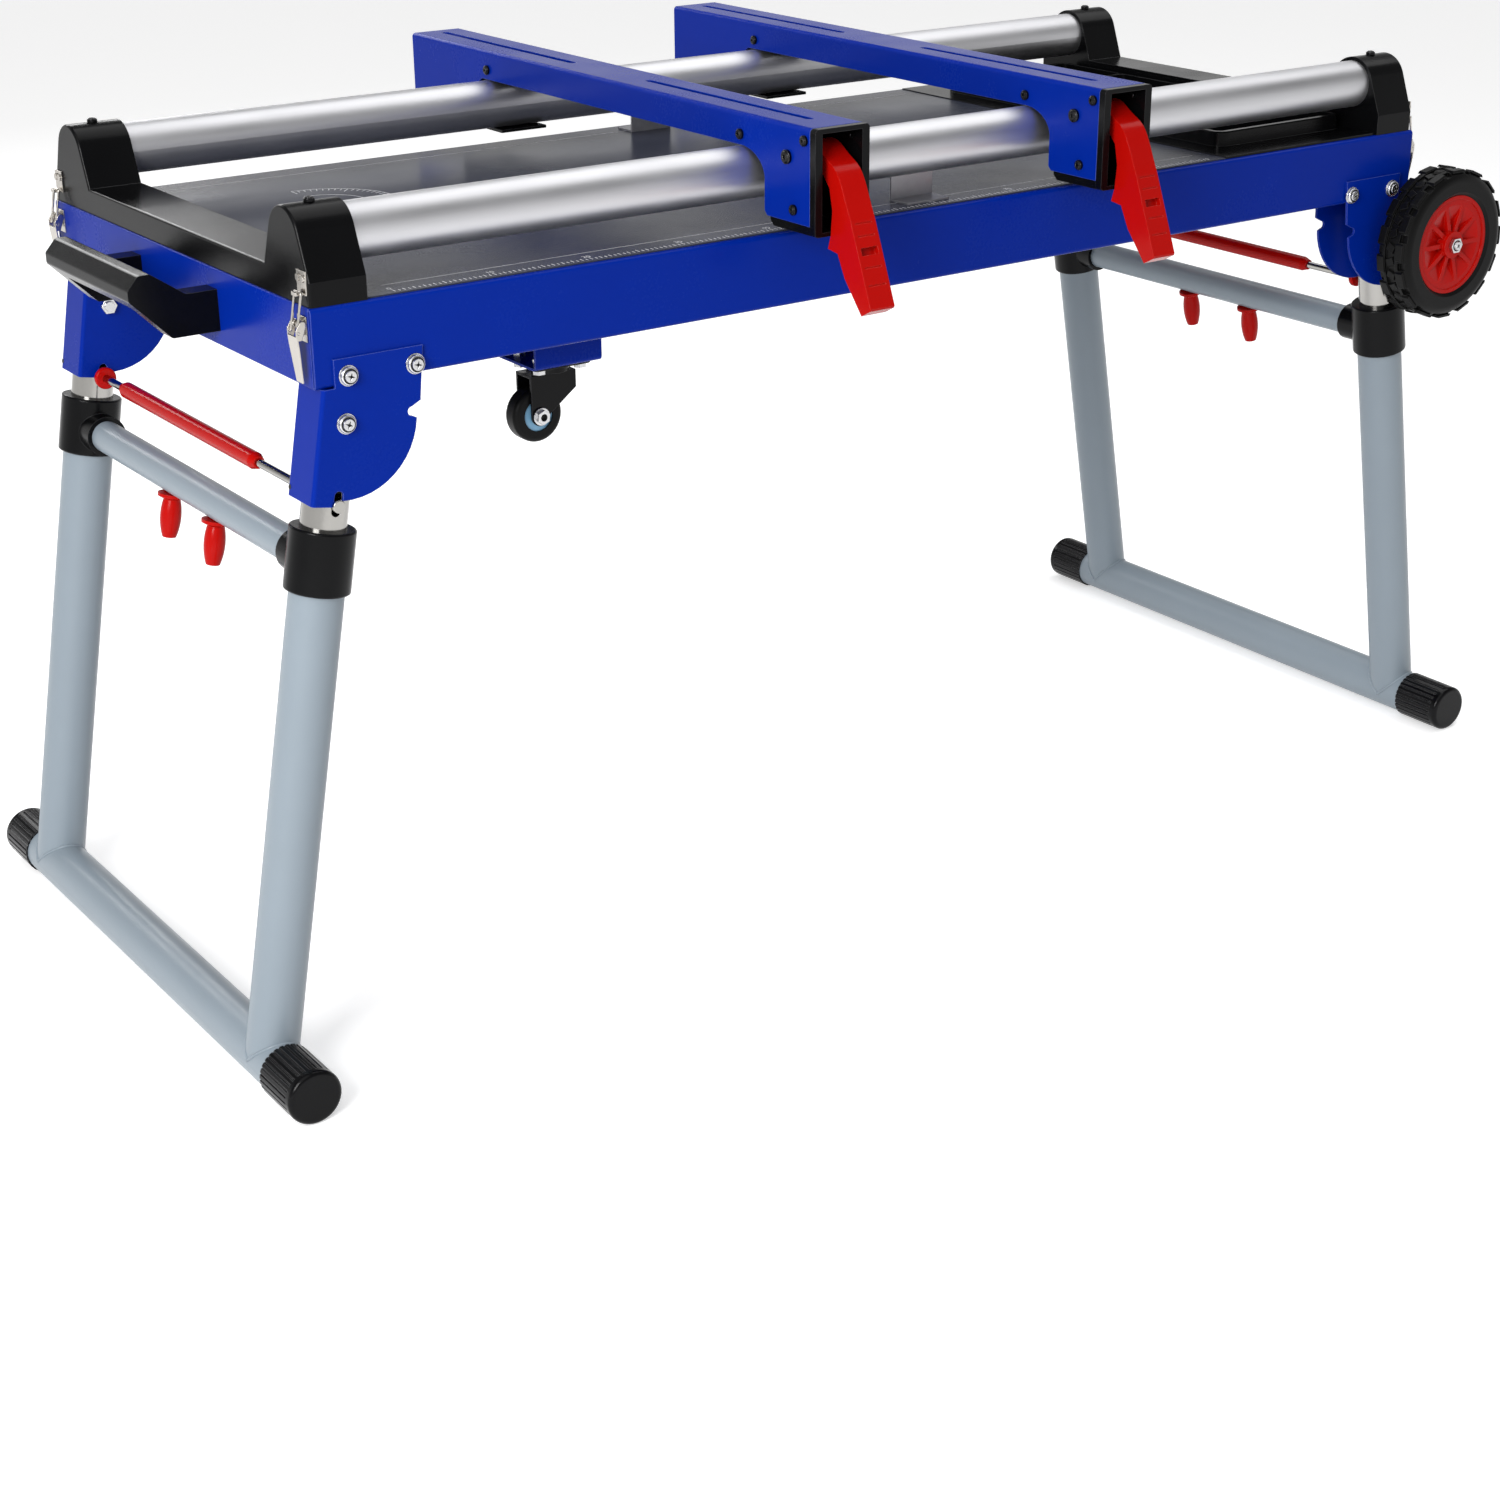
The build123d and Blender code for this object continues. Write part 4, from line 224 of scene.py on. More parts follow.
def stud_tree(name, recess):
    """A raised outline on every point, turned to the way that the point faces.

    The outline is a regular polygon of any number of sides, stretched by the point's own
    stretch, narrowed a little towards its top, and pierced by a star where it has a recess.
    """
    sizes = {
        "Radius": "NodeSocketFloat",
        "Sides": "NodeSocketInt",
        "Turn": "NodeSocketFloat",
        "Height": "NodeSocketFloat",
        "Top Share": "NodeSocketFloat",
    }
    if recess:
        sizes["Recess Points"] = "NodeSocketInt"
        sizes["Recess Outer"] = "NodeSocketFloat"
        sizes["Recess Inner"] = "NodeSocketFloat"
    tree = open_tree(name, sizes)
    new = tree.nodes.new
    given = new("NodeGroupInput")
    rim = new("GeometryNodeCurvePrimitiveCircle")
    wire(tree, given, "Sides", rim, "Resolution")
    wire(tree, given, "Radius", rim, "Radius")
    turned = new("GeometryNodeTransform")
    wire(tree, rim, "Curve", turned, "Geometry")
    about = new("ShaderNodeCombineXYZ")
    wire(tree, given, "Turn", about, "Z")
    wire(tree, about, "Vector", turned, "Rotation")
    outline = turned
    if recess:
        star = new("GeometryNodeCurveStar")
        wire(tree, given, "Recess Points", star, "Points")
        wire(tree, given, "Recess Outer", star, "Outer Radius")
        wire(tree, given, "Recess Inner", star, "Inner Radius")
        outline = new("GeometryNodeJoinGeometry")
        wire(tree, turned, "Geometry", outline, "Geometry")
        wire(tree, star, "Curve", outline, "Geometry")
    plate = new("GeometryNodeFillCurve")
    wire(tree, outline, "Geometry", plate, "Curve")
    raised = new("GeometryNodeExtrudeMesh")
    raised.inputs["Individual"].default_value = False
    wire(tree, plate, "Mesh", raised, "Mesh")
    wire(tree, given, "Height", raised, "Offset Scale")
    narrowed = new("GeometryNodeScaleElements")
    wire(tree, raised, "Mesh", narrowed, "Geometry")
    wire(tree, raised, "Top", narrowed, "Selection")
    wire(tree, given, "Top Share", narrowed, "Scale")
    under = new("GeometryNodeFlipFaces")
    wire(tree, plate, "Mesh", under, "Mesh")
    closed = new("GeometryNodeJoinGeometry")
    wire(tree, narrowed, "Geometry", closed, "Geometry")
    wire(tree, under, "Mesh", closed, "Geometry")
    seam_gap = 0.000002
    whole = new("GeometryNodeMergeByDistance")
    whole.inputs["Distance"].default_value = seam_gap
    wire(tree, closed, "Geometry", whole, "Geometry")

    facing = new("GeometryNodeInputNamedAttribute")
    facing.data_type = "FLOAT_VECTOR"
    facing.inputs["Name"].default_value = "facing"
    stretch = new("GeometryNodeInputNamedAttribute")
    stretch.data_type = "FLOAT_VECTOR"
    stretch.inputs["Name"].default_value = "stretch"
    spin = new("GeometryNodeInputNamedAttribute")
    spin.data_type = "FLOAT"
    spin.inputs["Name"].default_value = "spin"
    aligned = new("FunctionNodeAlignRotationToVector")
    aligned.axis = "Z"
    wire(tree, facing, "Attribute", aligned, "Vector")
    spun = new("FunctionNodeAxisAngleToRotation")
    spun.inputs["Axis"].default_value = (0.0, 0.0, 1.0)
    wire(tree, spin, "Attribute", spun, "Angle")
    placed = new("FunctionNodeRotateRotation")
    placed.rotation_space = "LOCAL"
    wire(tree, aligned, "Rotation", placed, "Rotation")
    wire(tree, spun, "Rotation", placed, "Rotate By")
    set_out = new("GeometryNodeInstanceOnPoints")
    wire(tree, given, "Geometry", set_out, "Points")
    wire(tree, whole, "Geometry", set_out, "Instance")
    wire(tree, placed, "Rotation", set_out, "Rotation")
    wire(tree, stretch, "Attribute", set_out, "Scale")
    real = new("GeometryNodeRealizeInstances")
    wire(tree, set_out, "Instances", real, "Geometry")
    coated = new("GeometryNodeSetMaterial")
    wire(tree, real, "Geometry", coated, "Geometry")
    wire(tree, given, "Material", coated, "Material")
    wire(tree, coated, "Geometry", new("NodeGroupOutput"), "Geometry")
    return tree


def put_in_scene(name, data):
    """A new object of the scene that holds this mesh, curve, lamp or camera."""
    holder = bpy.data.objects.new(name, data)
    bpy.context.scene.collection.objects.link(holder)
    return holder


def plain_mesh(piece):
    """The piece's mesh as its modifiers leave it, with nothing live in it."""
    graph = bpy.context.evaluated_depsgraph_get()
    return bpy.data.meshes.new_from_object(piece.evaluated_get(graph))


def grow(name, body, tree, material, points, sizes, edges=()):
    """Runs a tree on a mesh of points and keeps the result as a plain piece on the body.

    A point is its place, the way it faces, its stretch and its spin.
    """
    seeds = bpy.data.meshes.new(name + "_points")
    seeds.from_pydata([point[0] for point in points], list(edges), [])
    traits = {"facing": "FLOAT_VECTOR", "stretch": "FLOAT_VECTOR", "spin": "FLOAT"}
    for trait, kind in traits.items():
        seeds.attributes.new(trait, kind, "POINT")
    for index, (_, way, size, angle) in enumerate(points):
        seeds.attributes["facing"].data[index].vector = way
        seeds.attributes["stretch"].data[index].vector = size
        seeds.attributes["spin"].data[index].value = angle
    piece = put_in_scene(name, seeds)
    nodes = piece.modifiers.new("nodes", "NODES")
    nodes.node_group = tree
    for socket in tree.interface.items_tree:
        if socket.in_out == "INPUT" and socket.name in sizes:
            nodes[socket.identifier] = sizes[socket.name]
        if socket.in_out == "INPUT" and socket.name == "Material":
            nodes[socket.identifier] = material
    plain = plain_mesh(piece)
    piece.modifiers.clear()
    piece.data = plain
    for trait in traits:
        if trait in plain.attributes:
            plain.attributes.remove(plain.attributes[trait])
    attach(piece, body)


joints = {joint["name"]: joint for joint in frame["joints"]}
plain_size = (1.0, 1.0, 1.0)
pierced_stud = stud_tree("pierced_stud", True)
plain_stud = stud_tree("plain_stud", False)

bracket_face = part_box("leg_brackets")[1].y
pivot = Vector(joints["right_leg_fold"]["pos_m"])
bolt_in = 0.005
bolt_rise = 0.0415
bolt_pitch = 0.0645
bolt_height = 0.0045
turn_by_side = 0.7
turn_by_rise = 3.0
bolt_places = []
for side in (-1, 1):
    near = side * (pivot.x - bolt_in)
    far = side * (pivot.x - bolt_in - bolt_pitch)
    pattern = (
        (side * pivot.x, pivot.z),
        (near, pivot.z + bolt_rise),
        (far, pivot.z + bolt_rise),
    )
    for front in (-1, 1):
        for x, z in pattern:
            turn = turn_by_side * x / pivot.x + turn_by_rise * z
            place = (x, bracket_face * front, z)
            bolt_places.append((place, (0.0, front, 0.0), plain_size, turn))
grow(
    "bracket_washers",
    "table",
    pierced_stud,
    zinc,
    bolt_places,
    sizes={
        "Radius": 0.0094,
        "Sides": 40,
        "Height": 0.0012,
        "Top Share": 0.97,
        "Recess Points": 20,
        "Recess Outer": 0.0075,
        "Recess Inner": 0.0075,
    },
)
# Painted shade: a thin near-black disc lies on each head under its smaller face. It shows as a
# dark ring round the face and as the dark cross of its recess.
painted_hollow_shade = finish(
    "painted_hollow_shade",
    (0.012, 0.012, 0.012),
    metallic=0.6,
    rough=(0.3, 0.5),
    grain=900.0,
    bump=0.1,
)
head_tops = []
for place, way, size, turn in bolt_places:
    head_top = (place[0], place[1] + way[1] * bolt_height, place[2])
    head_tops.append((head_top, way, size, turn))
grow(
    "bracket_bolt_shade_discs",
    "table",
    plain_stud,
    painted_hollow_shade,
    head_tops,
    sizes={"Radius": 0.0068, "Sides": 32, "Height": 0.0002, "Top Share": 1.0},
)
grow(
    "bracket_bolt_faces",
    "table",
    pierced_stud,
    zinc,
    head_tops,
    sizes={
        "Radius": 0.0057,
        "Sides": 32,
        "Height": 0.0016,
        "Top Share": 0.9,
        "Recess Points": 4,
        "Recess Outer": 0.0044,
        "Recess Inner": 0.0013,
    },
)

# Web holes: a small punched hole low in the leaning web of each leg bracket, beside the
# leg tube. A thin dark disc of painted shade lies where the sheet is pierced.
leg_lean = math.radians(10.5)
tube_place = 0.2587


def leg_ways(side):
    """The way down a leg and the way out of the stand, at the left (-1) or right (1) end."""
    down = Vector((side * math.sin(leg_lean), 0.0, -math.cos(leg_lean)))
    out = Vector((side * math.cos(leg_lean), 0.0, math.sin(leg_lean)))
    return down, out


web_face = 0.025
web_hole_drop = 0.0665
web_hole_shift = 0.02
web_holes = []
for side in (-1, 1):
    down_leg, out_of_leg = leg_ways(side)
    for tube_y in (-tube_place, tube_place):
        place = Vector((side * pivot.x, tube_y + web_hole_shift, pivot.z))
        place += web_hole_drop * down_leg + web_face * out_of_leg
        web_holes.append((tuple(place), tuple(out_of_leg), plain_size, 0.0))
grow(
    "bracket_web_hole_shade",
    "table",
    plain_stud,
    painted_hollow_shade,
    web_holes,
    sizes={"Radius": 0.0024, "Sides": 24, "Height": 0.0002, "Top Share": 1.0},
)

# Axle ends: the transport wheels turn on long zinc-plated bolts. The bolt's outer end is
# a flat round head with a cross recess, like the bracket bolts.
axle_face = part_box("table_bolts")[1].y
axle_turn = 0.6
axle_ends = []
for front, way in (("front", -1.0), ("back", 1.0)):
    axle = Vector(joints[front + "_wheel_spin"]["pos_m"])
    place = (axle.x, axle_face * way, axle.z)
    axle_ends.append((place, (0.0, way, 0.0), plain_size, axle_turn))
# Painted shade: a thin near-black disc under each face shows as a dark ring round it and as the
# dark cross of its recess.
grow(
    "axle_shade_discs",
    "table",
    plain_stud,
    painted_hollow_shade,
    axle_ends,
    sizes={"Radius": 0.0062, "Sides": 32, "Height": 0.0002, "Top Share": 1.0},
)
grow(
    "axle_faces",
    "table",
    pierced_stud,
    zinc,
    axle_ends,
    sizes={
        "Radius": 0.0052,
        "Sides": 32,
        "Height": 0.0022,
        "Top Share": 0.85,
        "Recess Points": 4,
        "Recess Outer": 0.004,
        "Recess Inner": 0.0013,
    },
)

# Deck panel: coated sheet steel that lies on the aprons between the end bridges. Its
# coat is dark, smooth and a little glossy, and painted paler along the sheet's edges, partly as
# wear and partly as a painted highlight.
deck_paint = finish(
    "deck_paint",
    (0.032, 0.036, 0.056),
    rough=(0.2, 0.3),
    tone=0.05,
    grain=1500.0,
    bump=0.05,
    edge=(0.35, 0.35, 0.38),
    specular=0.16,
)
dress(deck_paint, "deck_panel")

# Deck print: a plain ruler along the front edge, a mitre scale near the left end and a
# thin margin line along both sides, screen-printed on the deck in a pale ink.
print_ink = finish(
    "print_ink",
    (0.78, 0.78, 0.8),
    rough=(0.4, 0.6),
    tone=0.1,
    patch=60.0,
    grain=1200.0,
    bump=0.02,
)
deck_low, deck_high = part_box("deck_panel")
ink_height = 0.00008
ink_width = 0.0009
upward = (0.0, 0.0, 1.0)
square_stud = {"Radius": math.sqrt(0.5), "Sides": 4, "Turn": math.pi / 4}


def bar_on_deck(x, y, length, width, angle):
    """A printed bar as a point: a square of side 1 stretched to the bar's size."""
    return ((x, y, deck_high.z), upward, (width, length, 1.0), angle)


ruler_left_margin = 0.03
ruler_right_margin = 0.02
ruler_start = deck_low.x + ruler_left_margin
ruler_end = deck_high.x - ruler_right_margin
ruler_inset = 0.004
ruler_step = 0.005
steps_per_long_tick = 10
long_tick = 0.0075
even_tick = 0.006
odd_tick = 0.0045
marks = []
steps = int((ruler_end - ruler_start) / ruler_step)
for step in range(steps + 1):
    reach = odd_tick if step % 2 else even_tick
    if step % steps_per_long_tick == 0:
        reach = long_tick
    x = ruler_start + step * ruler_step
    marks.append(bar_on_deck(x, deck_low.y + ruler_inset + reach / 2, reach, ink_width, 0.0))

mitre_x = -0.479
mitre_y = 0.091
mitre_radius = 0.075
mitre_band = 0.03
mitre_step = 5
mitre_long_step = 45
mitre_long_line = 0.014
mitre_line = 0.008
for degrees in range(0, 180 + mitre_step, mitre_step):
    way = math.radians(degrees - 90)
    reach = mitre_line if degrees % mitre_long_step else mitre_long_line
    middle = mitre_radius - reach / 2
    x = mitre_x + middle * math.cos(way)
    y = mitre_y + middle * math.sin(way)
    marks.append(bar_on_deck(x, y, reach, ink_width, way - math.pi / 2))
arc_bars = 60
arc_overlap = 1.05
for bar in range(arc_bars):
    for radius in (mitre_radius, mitre_radius - mitre_band):
        way = math.pi * (bar + 0.5) / arc_bars - math.pi / 2
        length = math.pi * radius / arc_bars * arc_overlap
        x = mitre_x + radius * math.cos(way)
        y = mitre_y + radius * math.sin(way)
        marks.append(bar_on_deck(x, y, length, ink_width, way))

margin_inset = 0.03
ruler_length = ruler_end - ruler_start
ruler_middle = (ruler_start + ruler_end) / 2
for y in (deck_low.y + margin_inset, deck_high.y - margin_inset):
    marks.append(bar_on_deck(ruler_middle, y, ink_width, ruler_length, 0.0))
grow(
    "deck_scale",
    "table",
    plain_stud,
    print_ink,
    marks,
    sizes=square_stud | {"Height": ink_height, "Top Share": 1.0},
)

# Ruler figures: plain numbers in centimetres at every tenth one, printed over the ticks
# in the same ink.
figure_size = 0.0085
figure_gap = 0.0015
steps_per_cm = 2
steps_per_figure = 20
figure_foot = deck_low.y + ruler_inset + long_tick + figure_gap
figures = bmesh.new()
for step in range(0, steps + 1, steps_per_figure):
    words = bpy.data.curves.new("figure", "FONT")
    words.body = str(step // steps_per_cm)
    words.size = figure_size
    words.align_x = "CENTER"
    words.extrude = ink_height / 2
    carrier = put_in_scene("figure", words)
    flat = plain_mesh(carrier)
    x = ruler_start + step * ruler_step
    flat.transform(Matrix.Translation((x, figure_foot, deck_high.z)))
    figures.from_mesh(flat)
    bpy.data.objects.remove(carrier)
    bpy.data.curves.remove(words)
    bpy.data.meshes.remove(flat)
figure_mesh = bpy.data.meshes.new("deck_figures")
figures.to_mesh(figure_mesh)
figures.free()
figure_mesh.materials.append(print_ink)
deck_figures = put_in_scene("deck_figures", figure_mesh)
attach(deck_figures, "table")

# Black mouldings: bridges at the table's ends, tool tray, pull handle, collars and the
# housings inside the saw mounts. Glass-filled plastic with a fine moulded grain.
black_plastic = finish(
    "black_plastic",
    (0.0025, 0.0026, 0.003),
    rough=(0.16, 0.3),
    tone=0.2,
    grain=1000.0,
    bump=0.1,
    # Edge colour: a painted highlight along the mouldings' edges.
    edge=(0.12, 0.12, 0.125),
    specular=0.13,
)
dress(
    black_plastic,
    "left_end_bridge",
    "right_end_bridge",
    "tool_tray",
    "pull_handle",
    "left_leg_collars",
    "right_leg_collars",
    "left_mount_blocks",
    "right_mount_blocks",
)

# Rails: two drawn aluminium tubes, brushed along their length and clear anodised. Their
# ends sit in the towers of the end bridges.
satin_aluminium = finish(
    "satin_aluminium",
    (0.62, 0.62, 0.64),
    metallic=1.0,
    rough=(0.4, 0.5),
    tone=0.03,
    grain=700.0,
    bump=0.1,
    depth=0.0002,
    stretch=(0.02, 1.0, 1.0),
)
dress(satin_aluminium, "front_rail", "back_rail")

# Rail rests: strips of galvanised steel, bent into low seats on the deck that hold up the
# middle of each rail. The zinc has dulled in patches.
galvanised = finish(
    "galvanised",
    (0.3, 0.3, 0.32),
    metallic=0.8,
    rough=(0.3, 0.5),
    patch=120.0,
    tone=0.2,
    grain=500.0,
    bump=0.05,
)
dress(galvanised, "rail_rests")

# Leg frames: round steel tubes welded into a frame under a light grey-blue enamel, which
# is a little uneven and painted paler on its edges, partly as wear and partly as a painted
# highlight.
grey_paint = finish(
    "grey_paint",
    (0.235, 0.28, 0.32),
    rough=(0.28, 0.42),
    tone=0.05,
    grain=500.0,
    bump=0.08,
    edge=(0.55, 0.58, 0.6),
    specular=0.4,
)
dress(grey_paint, "left_leg_frame", "right_leg_frame")

# Foot welds: a bead of uneven thickness runs round the end of each leg tube, where it is
# cut to a saddle and stands on the foot bar. The enamel covers it.


def bead_tree():
    """A bead of uneven thickness along the edges of the mesh that it is given."""
    tree = open_tree(
        "weld_bead",
        {
            "Radius": "NodeSocketFloat",
            "Ripple": "NodeSocketFloat",
            "Ripple Scale": "NodeSocketFloat",
        },
    )
    ripple_low, ripple_high = 0.3, 0.7
    bead_sides = 8
    new = tree.nodes.new
    given = new("NodeGroupInput")
    path = new("GeometryNodeMeshToCurve")
    wire(tree, given, "Geometry", path, "Mesh")
    ripple = new("ShaderNodeTexNoise")
    wire(tree, given, "Ripple Scale", ripple, "Scale")
    swell = new("ShaderNodeMapRange")
    wire(tree, ripple, "Fac", swell, "Value")
    swell.inputs["From Min"].default_value = ripple_low
    swell.inputs["From Max"].default_value = ripple_high
    thin = new("ShaderNodeMath")
    thin.operation = "SUBTRACT"
    wire(tree, given, "Radius", thin, 0)
    wire(tree, given, "Ripple", thin, 1)
    wire(tree, thin, "Value", swell, "To Min")
    thick = new("ShaderNodeMath")
    thick.operation = "ADD"
    wire(tree, given, "Radius", thick, 0)
    wire(tree, given, "Ripple", thick, 1)
    wire(tree, thick, "Value", swell, "To Max")
    outline = new("GeometryNodeCurvePrimitiveCircle")
    outline.inputs["Resolution"].default_value = bead_sides
    outline.inputs["Radius"].default_value = 1.0
    bead = new("GeometryNodeCurveToMesh")
    wire(tree, path, "Curve", bead, "Curve")
    wire(tree, outline, "Curve", bead, "Profile Curve")
    wire(tree, swell, "Result", bead, "Scale")
    real = new("GeometryNodeRealizeInstances")
    wire(tree, bead, "Mesh", real, "Geometry")
    coated = new("GeometryNodeSetMaterial")
    wire(tree, real, "Geometry", coated, "Geometry")
    wire(tree, given, "Material", coated, "Material")
    wire(tree, coated, "Geometry", new("NodeGroupOutput"), "Geometry")
    return tree


weld_bead = bead_tree()
leg_radius = 0.025
leg_length = 0.608
bead_parts = 64
for side, leg_name in ((-1, "left"), (1, "right")):
    down_leg, out_of_leg = leg_ways(side)
    foot = Vector((side * pivot.x, 0.0, pivot.z)) + leg_length * down_leg
    loop = []
    loop_edges = []
    for tube_y in (-tube_place, tube_place):
        first = len(loop)
        for part in range(bead_parts):
            angle = math.tau * part / bead_parts
            place = foot + Vector((0.0, tube_y + leg_radius * math.cos(angle), 0.0))
            place += out_of_leg * leg_radius * math.sin(angle)
            place -= down_leg * leg_radius * abs(math.cos(angle))
            loop.append((tuple(place), upward, plain_size, 0.0))
            loop_edges.append((first + part, first + (part + 1) % bead_parts))
    grow(
        leg_name + "_foot_welds",
        leg_name + "_leg_lower",
        weld_bead,
        grey_paint,
        loop,
        sizes={"Radius": 0.0016, "Ripple": 0.0005, "Ripple Scale": 260.0},
        edges=loop_edges,
    )

# Chromed steel: the inner leg tubes, which slide in the leg frames, and the release rods
# that lock each leg in the notches of its brackets. Ground, polished and plated.
chrome = finish(
    "chrome",
    (0.4, 0.39, 0.37),
    metallic=1.0,
    rough=(0.08, 0.18),
    tone=0.05,
    grain=600.0,
    bump=0.03,
)
dress(
    chrome,
    "left_inner_tubes",
    "right_inner_tubes",
    "left_release_rod",
    "right_release_rod",
)

# Red mouldings: clamp levers, release grips, pull knobs and the wheels' rims. They are
# nylon dyed through, and their edges are painted paler, partly as wear and partly as a painted
# highlight.
red_plastic = finish(
    "red_plastic",
    (0.42, 0.003, 0.0015),
    rough=(0.16, 0.28),
    tone=0.06,
    grain=700.0,
    bump=0.05,
    edge=(0.8, 0.05, 0.03),
    specular=0.1,
)
dress(
    red_plastic,
    "left_clamp_lever",
    "right_clamp_lever",
    "left_release_grip",
    "right_release_grip",
    "left_front_pull_knob",
    "left_back_pull_knob",
    "right_front_pull_knob",
    "right_back_pull_knob",
    "front_wheel_rim",
    "back_wheel_rim",
)

# Latches: stamped and bent steel with a bright nickel plating. At each corner a lever on
# the end panel pulls a wire bail down from a keeper on the bridge's tower.
nickel = finish(
    "nickel",
    (0.55, 0.52, 0.48),
    metallic=1.0,
    rough=(0.12, 0.3),
    patch=50.0,
    tone=0.1,
    grain=900.0,
    bump=0.05,
)
dress(nickel, *[name for name in frame["nodes"] if "latch" in name])

# Rail screws: black oxide button heads with a hexagon socket, one down through the top
# of each tower into the end of a rail.
black_screw = finish(
    "black_screw",
    (0.012, 0.012, 0.013),
    metallic=0.9,
    rough=(0.2, 0.34),
    grain=900.0,
    bump=0.06,
    edge=(0.3, 0.3, 0.31),
)
dress(black_screw, "rail_screws", "left_mount_screws", "right_mount_screws")
socket_cap = {
    "Radius": 0.004,
    "Sides": 24,
    "Height": 0.0009,
    "Top Share": 0.8,
    "Recess Points": 6,
    "Recess Outer": 0.0024,
    "Recess Inner": 0.0019,
}
rail_screw_radius = 0.005
rail_screw_turn = 9.0
screw_low, screw_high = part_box("rail_screws")
rail_tops = []
for x in (screw_low.x + rail_screw_radius, screw_high.x - rail_screw_radius):
    for y in (screw_low.y + rail_screw_radius, screw_high.y - rail_screw_radius):
        rail_tops.append(((x, y, screw_high.z), upward, plain_size, rail_screw_turn * x + y))
grow(
    "rail_screw_sockets",
    "table",
    pierced_stud,
    black_screw,
    rail_tops,
    sizes=socket_cap,
)

# Mount screws: the same black button heads in both walls of each saw mount, two over the
# rails and two at the lever's end, and a larger pin that the clamp lever turns on.
pin_cap = socket_cap | {"Radius": 0.0058, "Recess Outer": 0.0033, "Recess Inner": 0.0028}
rail_low, rail_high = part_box("front_rail")
rail_place = (rail_low.y + rail_high.y) / 2
apron_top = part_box("front_apron")[1].z
over_rail_drop = 0.02
end_screw_in = 0.008
end_screw_drop = 0.012
low_screw_in = 0.024
low_screw_rise = 0.03
mount_screw_turn = 11.0
pin_turn = 0.3
for side in ("left", "right"):
    bar_low, bar_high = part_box(side + "_mount_bar")
    heads_low, heads_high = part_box(side + "_mount_screws")
    lever_pin = Vector(joints[side + "_clamp_hinge"]["pos_m"])
    screw_rows = (
        (rail_place, bar_high.z - over_rail_drop),
        (-rail_place, bar_high.z - over_rail_drop),
        (bar_low.y + end_screw_in, bar_high.z - end_screw_drop),
        (bar_low.y + low_screw_in, apron_top + low_screw_rise),
    )
    sockets = []
    pins = []
    for head_x, way in ((heads_low.x, -1.0), (heads_high.x, 1.0)):
        outward = (way, 0.0, 0.0)
        for y, z in screw_rows:
            sockets.append(((head_x, y, z), outward, plain_size, mount_screw_turn * y + z))
        pins.append(((head_x, lever_pin.y, lever_pin.z), outward, plain_size, pin_turn))
    for part_name, places, cap in (
        ("_mount_sockets", sockets, socket_cap),
        ("_pin_sockets", pins, pin_cap),
    ):
        grow(
            side + part_name,
            side + "_mount",
            pierced_stud,
            black_screw,
            places,
            sizes=cap,
        )

# Foot caps: fluted rubber caps pushed on the ends of the foot bars. They are moulded
# smooth, and the ribs between the flutes catch the light.
foot_rubber = finish(
    "foot_rubber",
    (0.003, 0.003, 0.0035),
    rough=(0.1, 0.2),
    tone=0.25,
    grain=900.0,
    bump=0.12,
    edge=(0.3, 0.3, 0.31),
    specular=0.14,
)
dress(foot_rubber, "left_foot_caps", "right_foot_caps")

# Tyres: solid moulded rubber, duller than the caps, pressed on the rims of the transport
# wheels and on the cores of the casters.
black_tyre = finish(
    "black_tyre",
    (0.003, 0.003, 0.003),
    rough=(0.3, 0.5),
    tone=0.25,
    grain=600.0,
    bump=0.22,
    edge=(0.05, 0.05, 0.05),
    specular=0.12,
)
dress(black_tyre, "front_wheel_tyre", "back_wheel_tyre", "front_caster_tyre", "back_caster_tyre")

# Tread: slanted blocks stand in the channel round the middle of each transport tyre, and
# lugs on its shoulders. The inner shoulder's lugs are half a step round from the outer's.
tread_blocks = 32
block_shift = 0.25
block_length = 0.0095
block_width = 0.0115
block_slant = math.radians(24.0)
channel_floor = 0.0795
lug_places = 16
lug_size = (0.021, 0.0112, 1.0)
lug_middle = 0.0128
lug_foot = 0.0805
inner_shift = 0.5
for front in ("front", "back"):
    tyre_low, tyre_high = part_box(front + "_wheel_tyre")
    axle = Vector(joints[front + "_wheel_spin"]["pos_m"])
    tyre_middle = (tyre_low.y + tyre_high.y) / 2
    blocks = []
    for block in range(tread_blocks):
        angle = math.tau * (block + block_shift) / tread_blocks
        way = Vector((math.sin(angle), 0.0, math.cos(angle)))
        place = Vector((axle.x, tyre_middle, axle.z)) + channel_floor * way
        slant = block_slant if block % 2 else -block_slant
        blocks.append((tuple(place), tuple(way), (block_length, block_width, 1.0), slant))
    lugs = []
    for shoulder in (-1, 1):
        shift = 0.0 if shoulder * tyre_middle > 0 else inner_shift
        for lug in range(lug_places):
            angle = math.tau * (lug + shift) / lug_places
            way = Vector((math.sin(angle), 0.0, math.cos(angle)))
            place = Vector((axle.x, tyre_middle + shoulder * lug_middle, axle.z))
            place += lug_foot * way
            lugs.append((tuple(place), tuple(way), lug_size, 0.0))
    for part_name, places, height, top_share in (
        ("_tread_blocks", blocks, 0.0024, 0.82),
        ("_shoulder_lugs", lugs, 0.0027, 0.84),
    ):
        grow(
            front + part_name,
            front + "_wheel",
            plain_stud,
            black_tyre,
            places,
            sizes=square_stud | {"Height": height, "Top Share": top_share},
        )

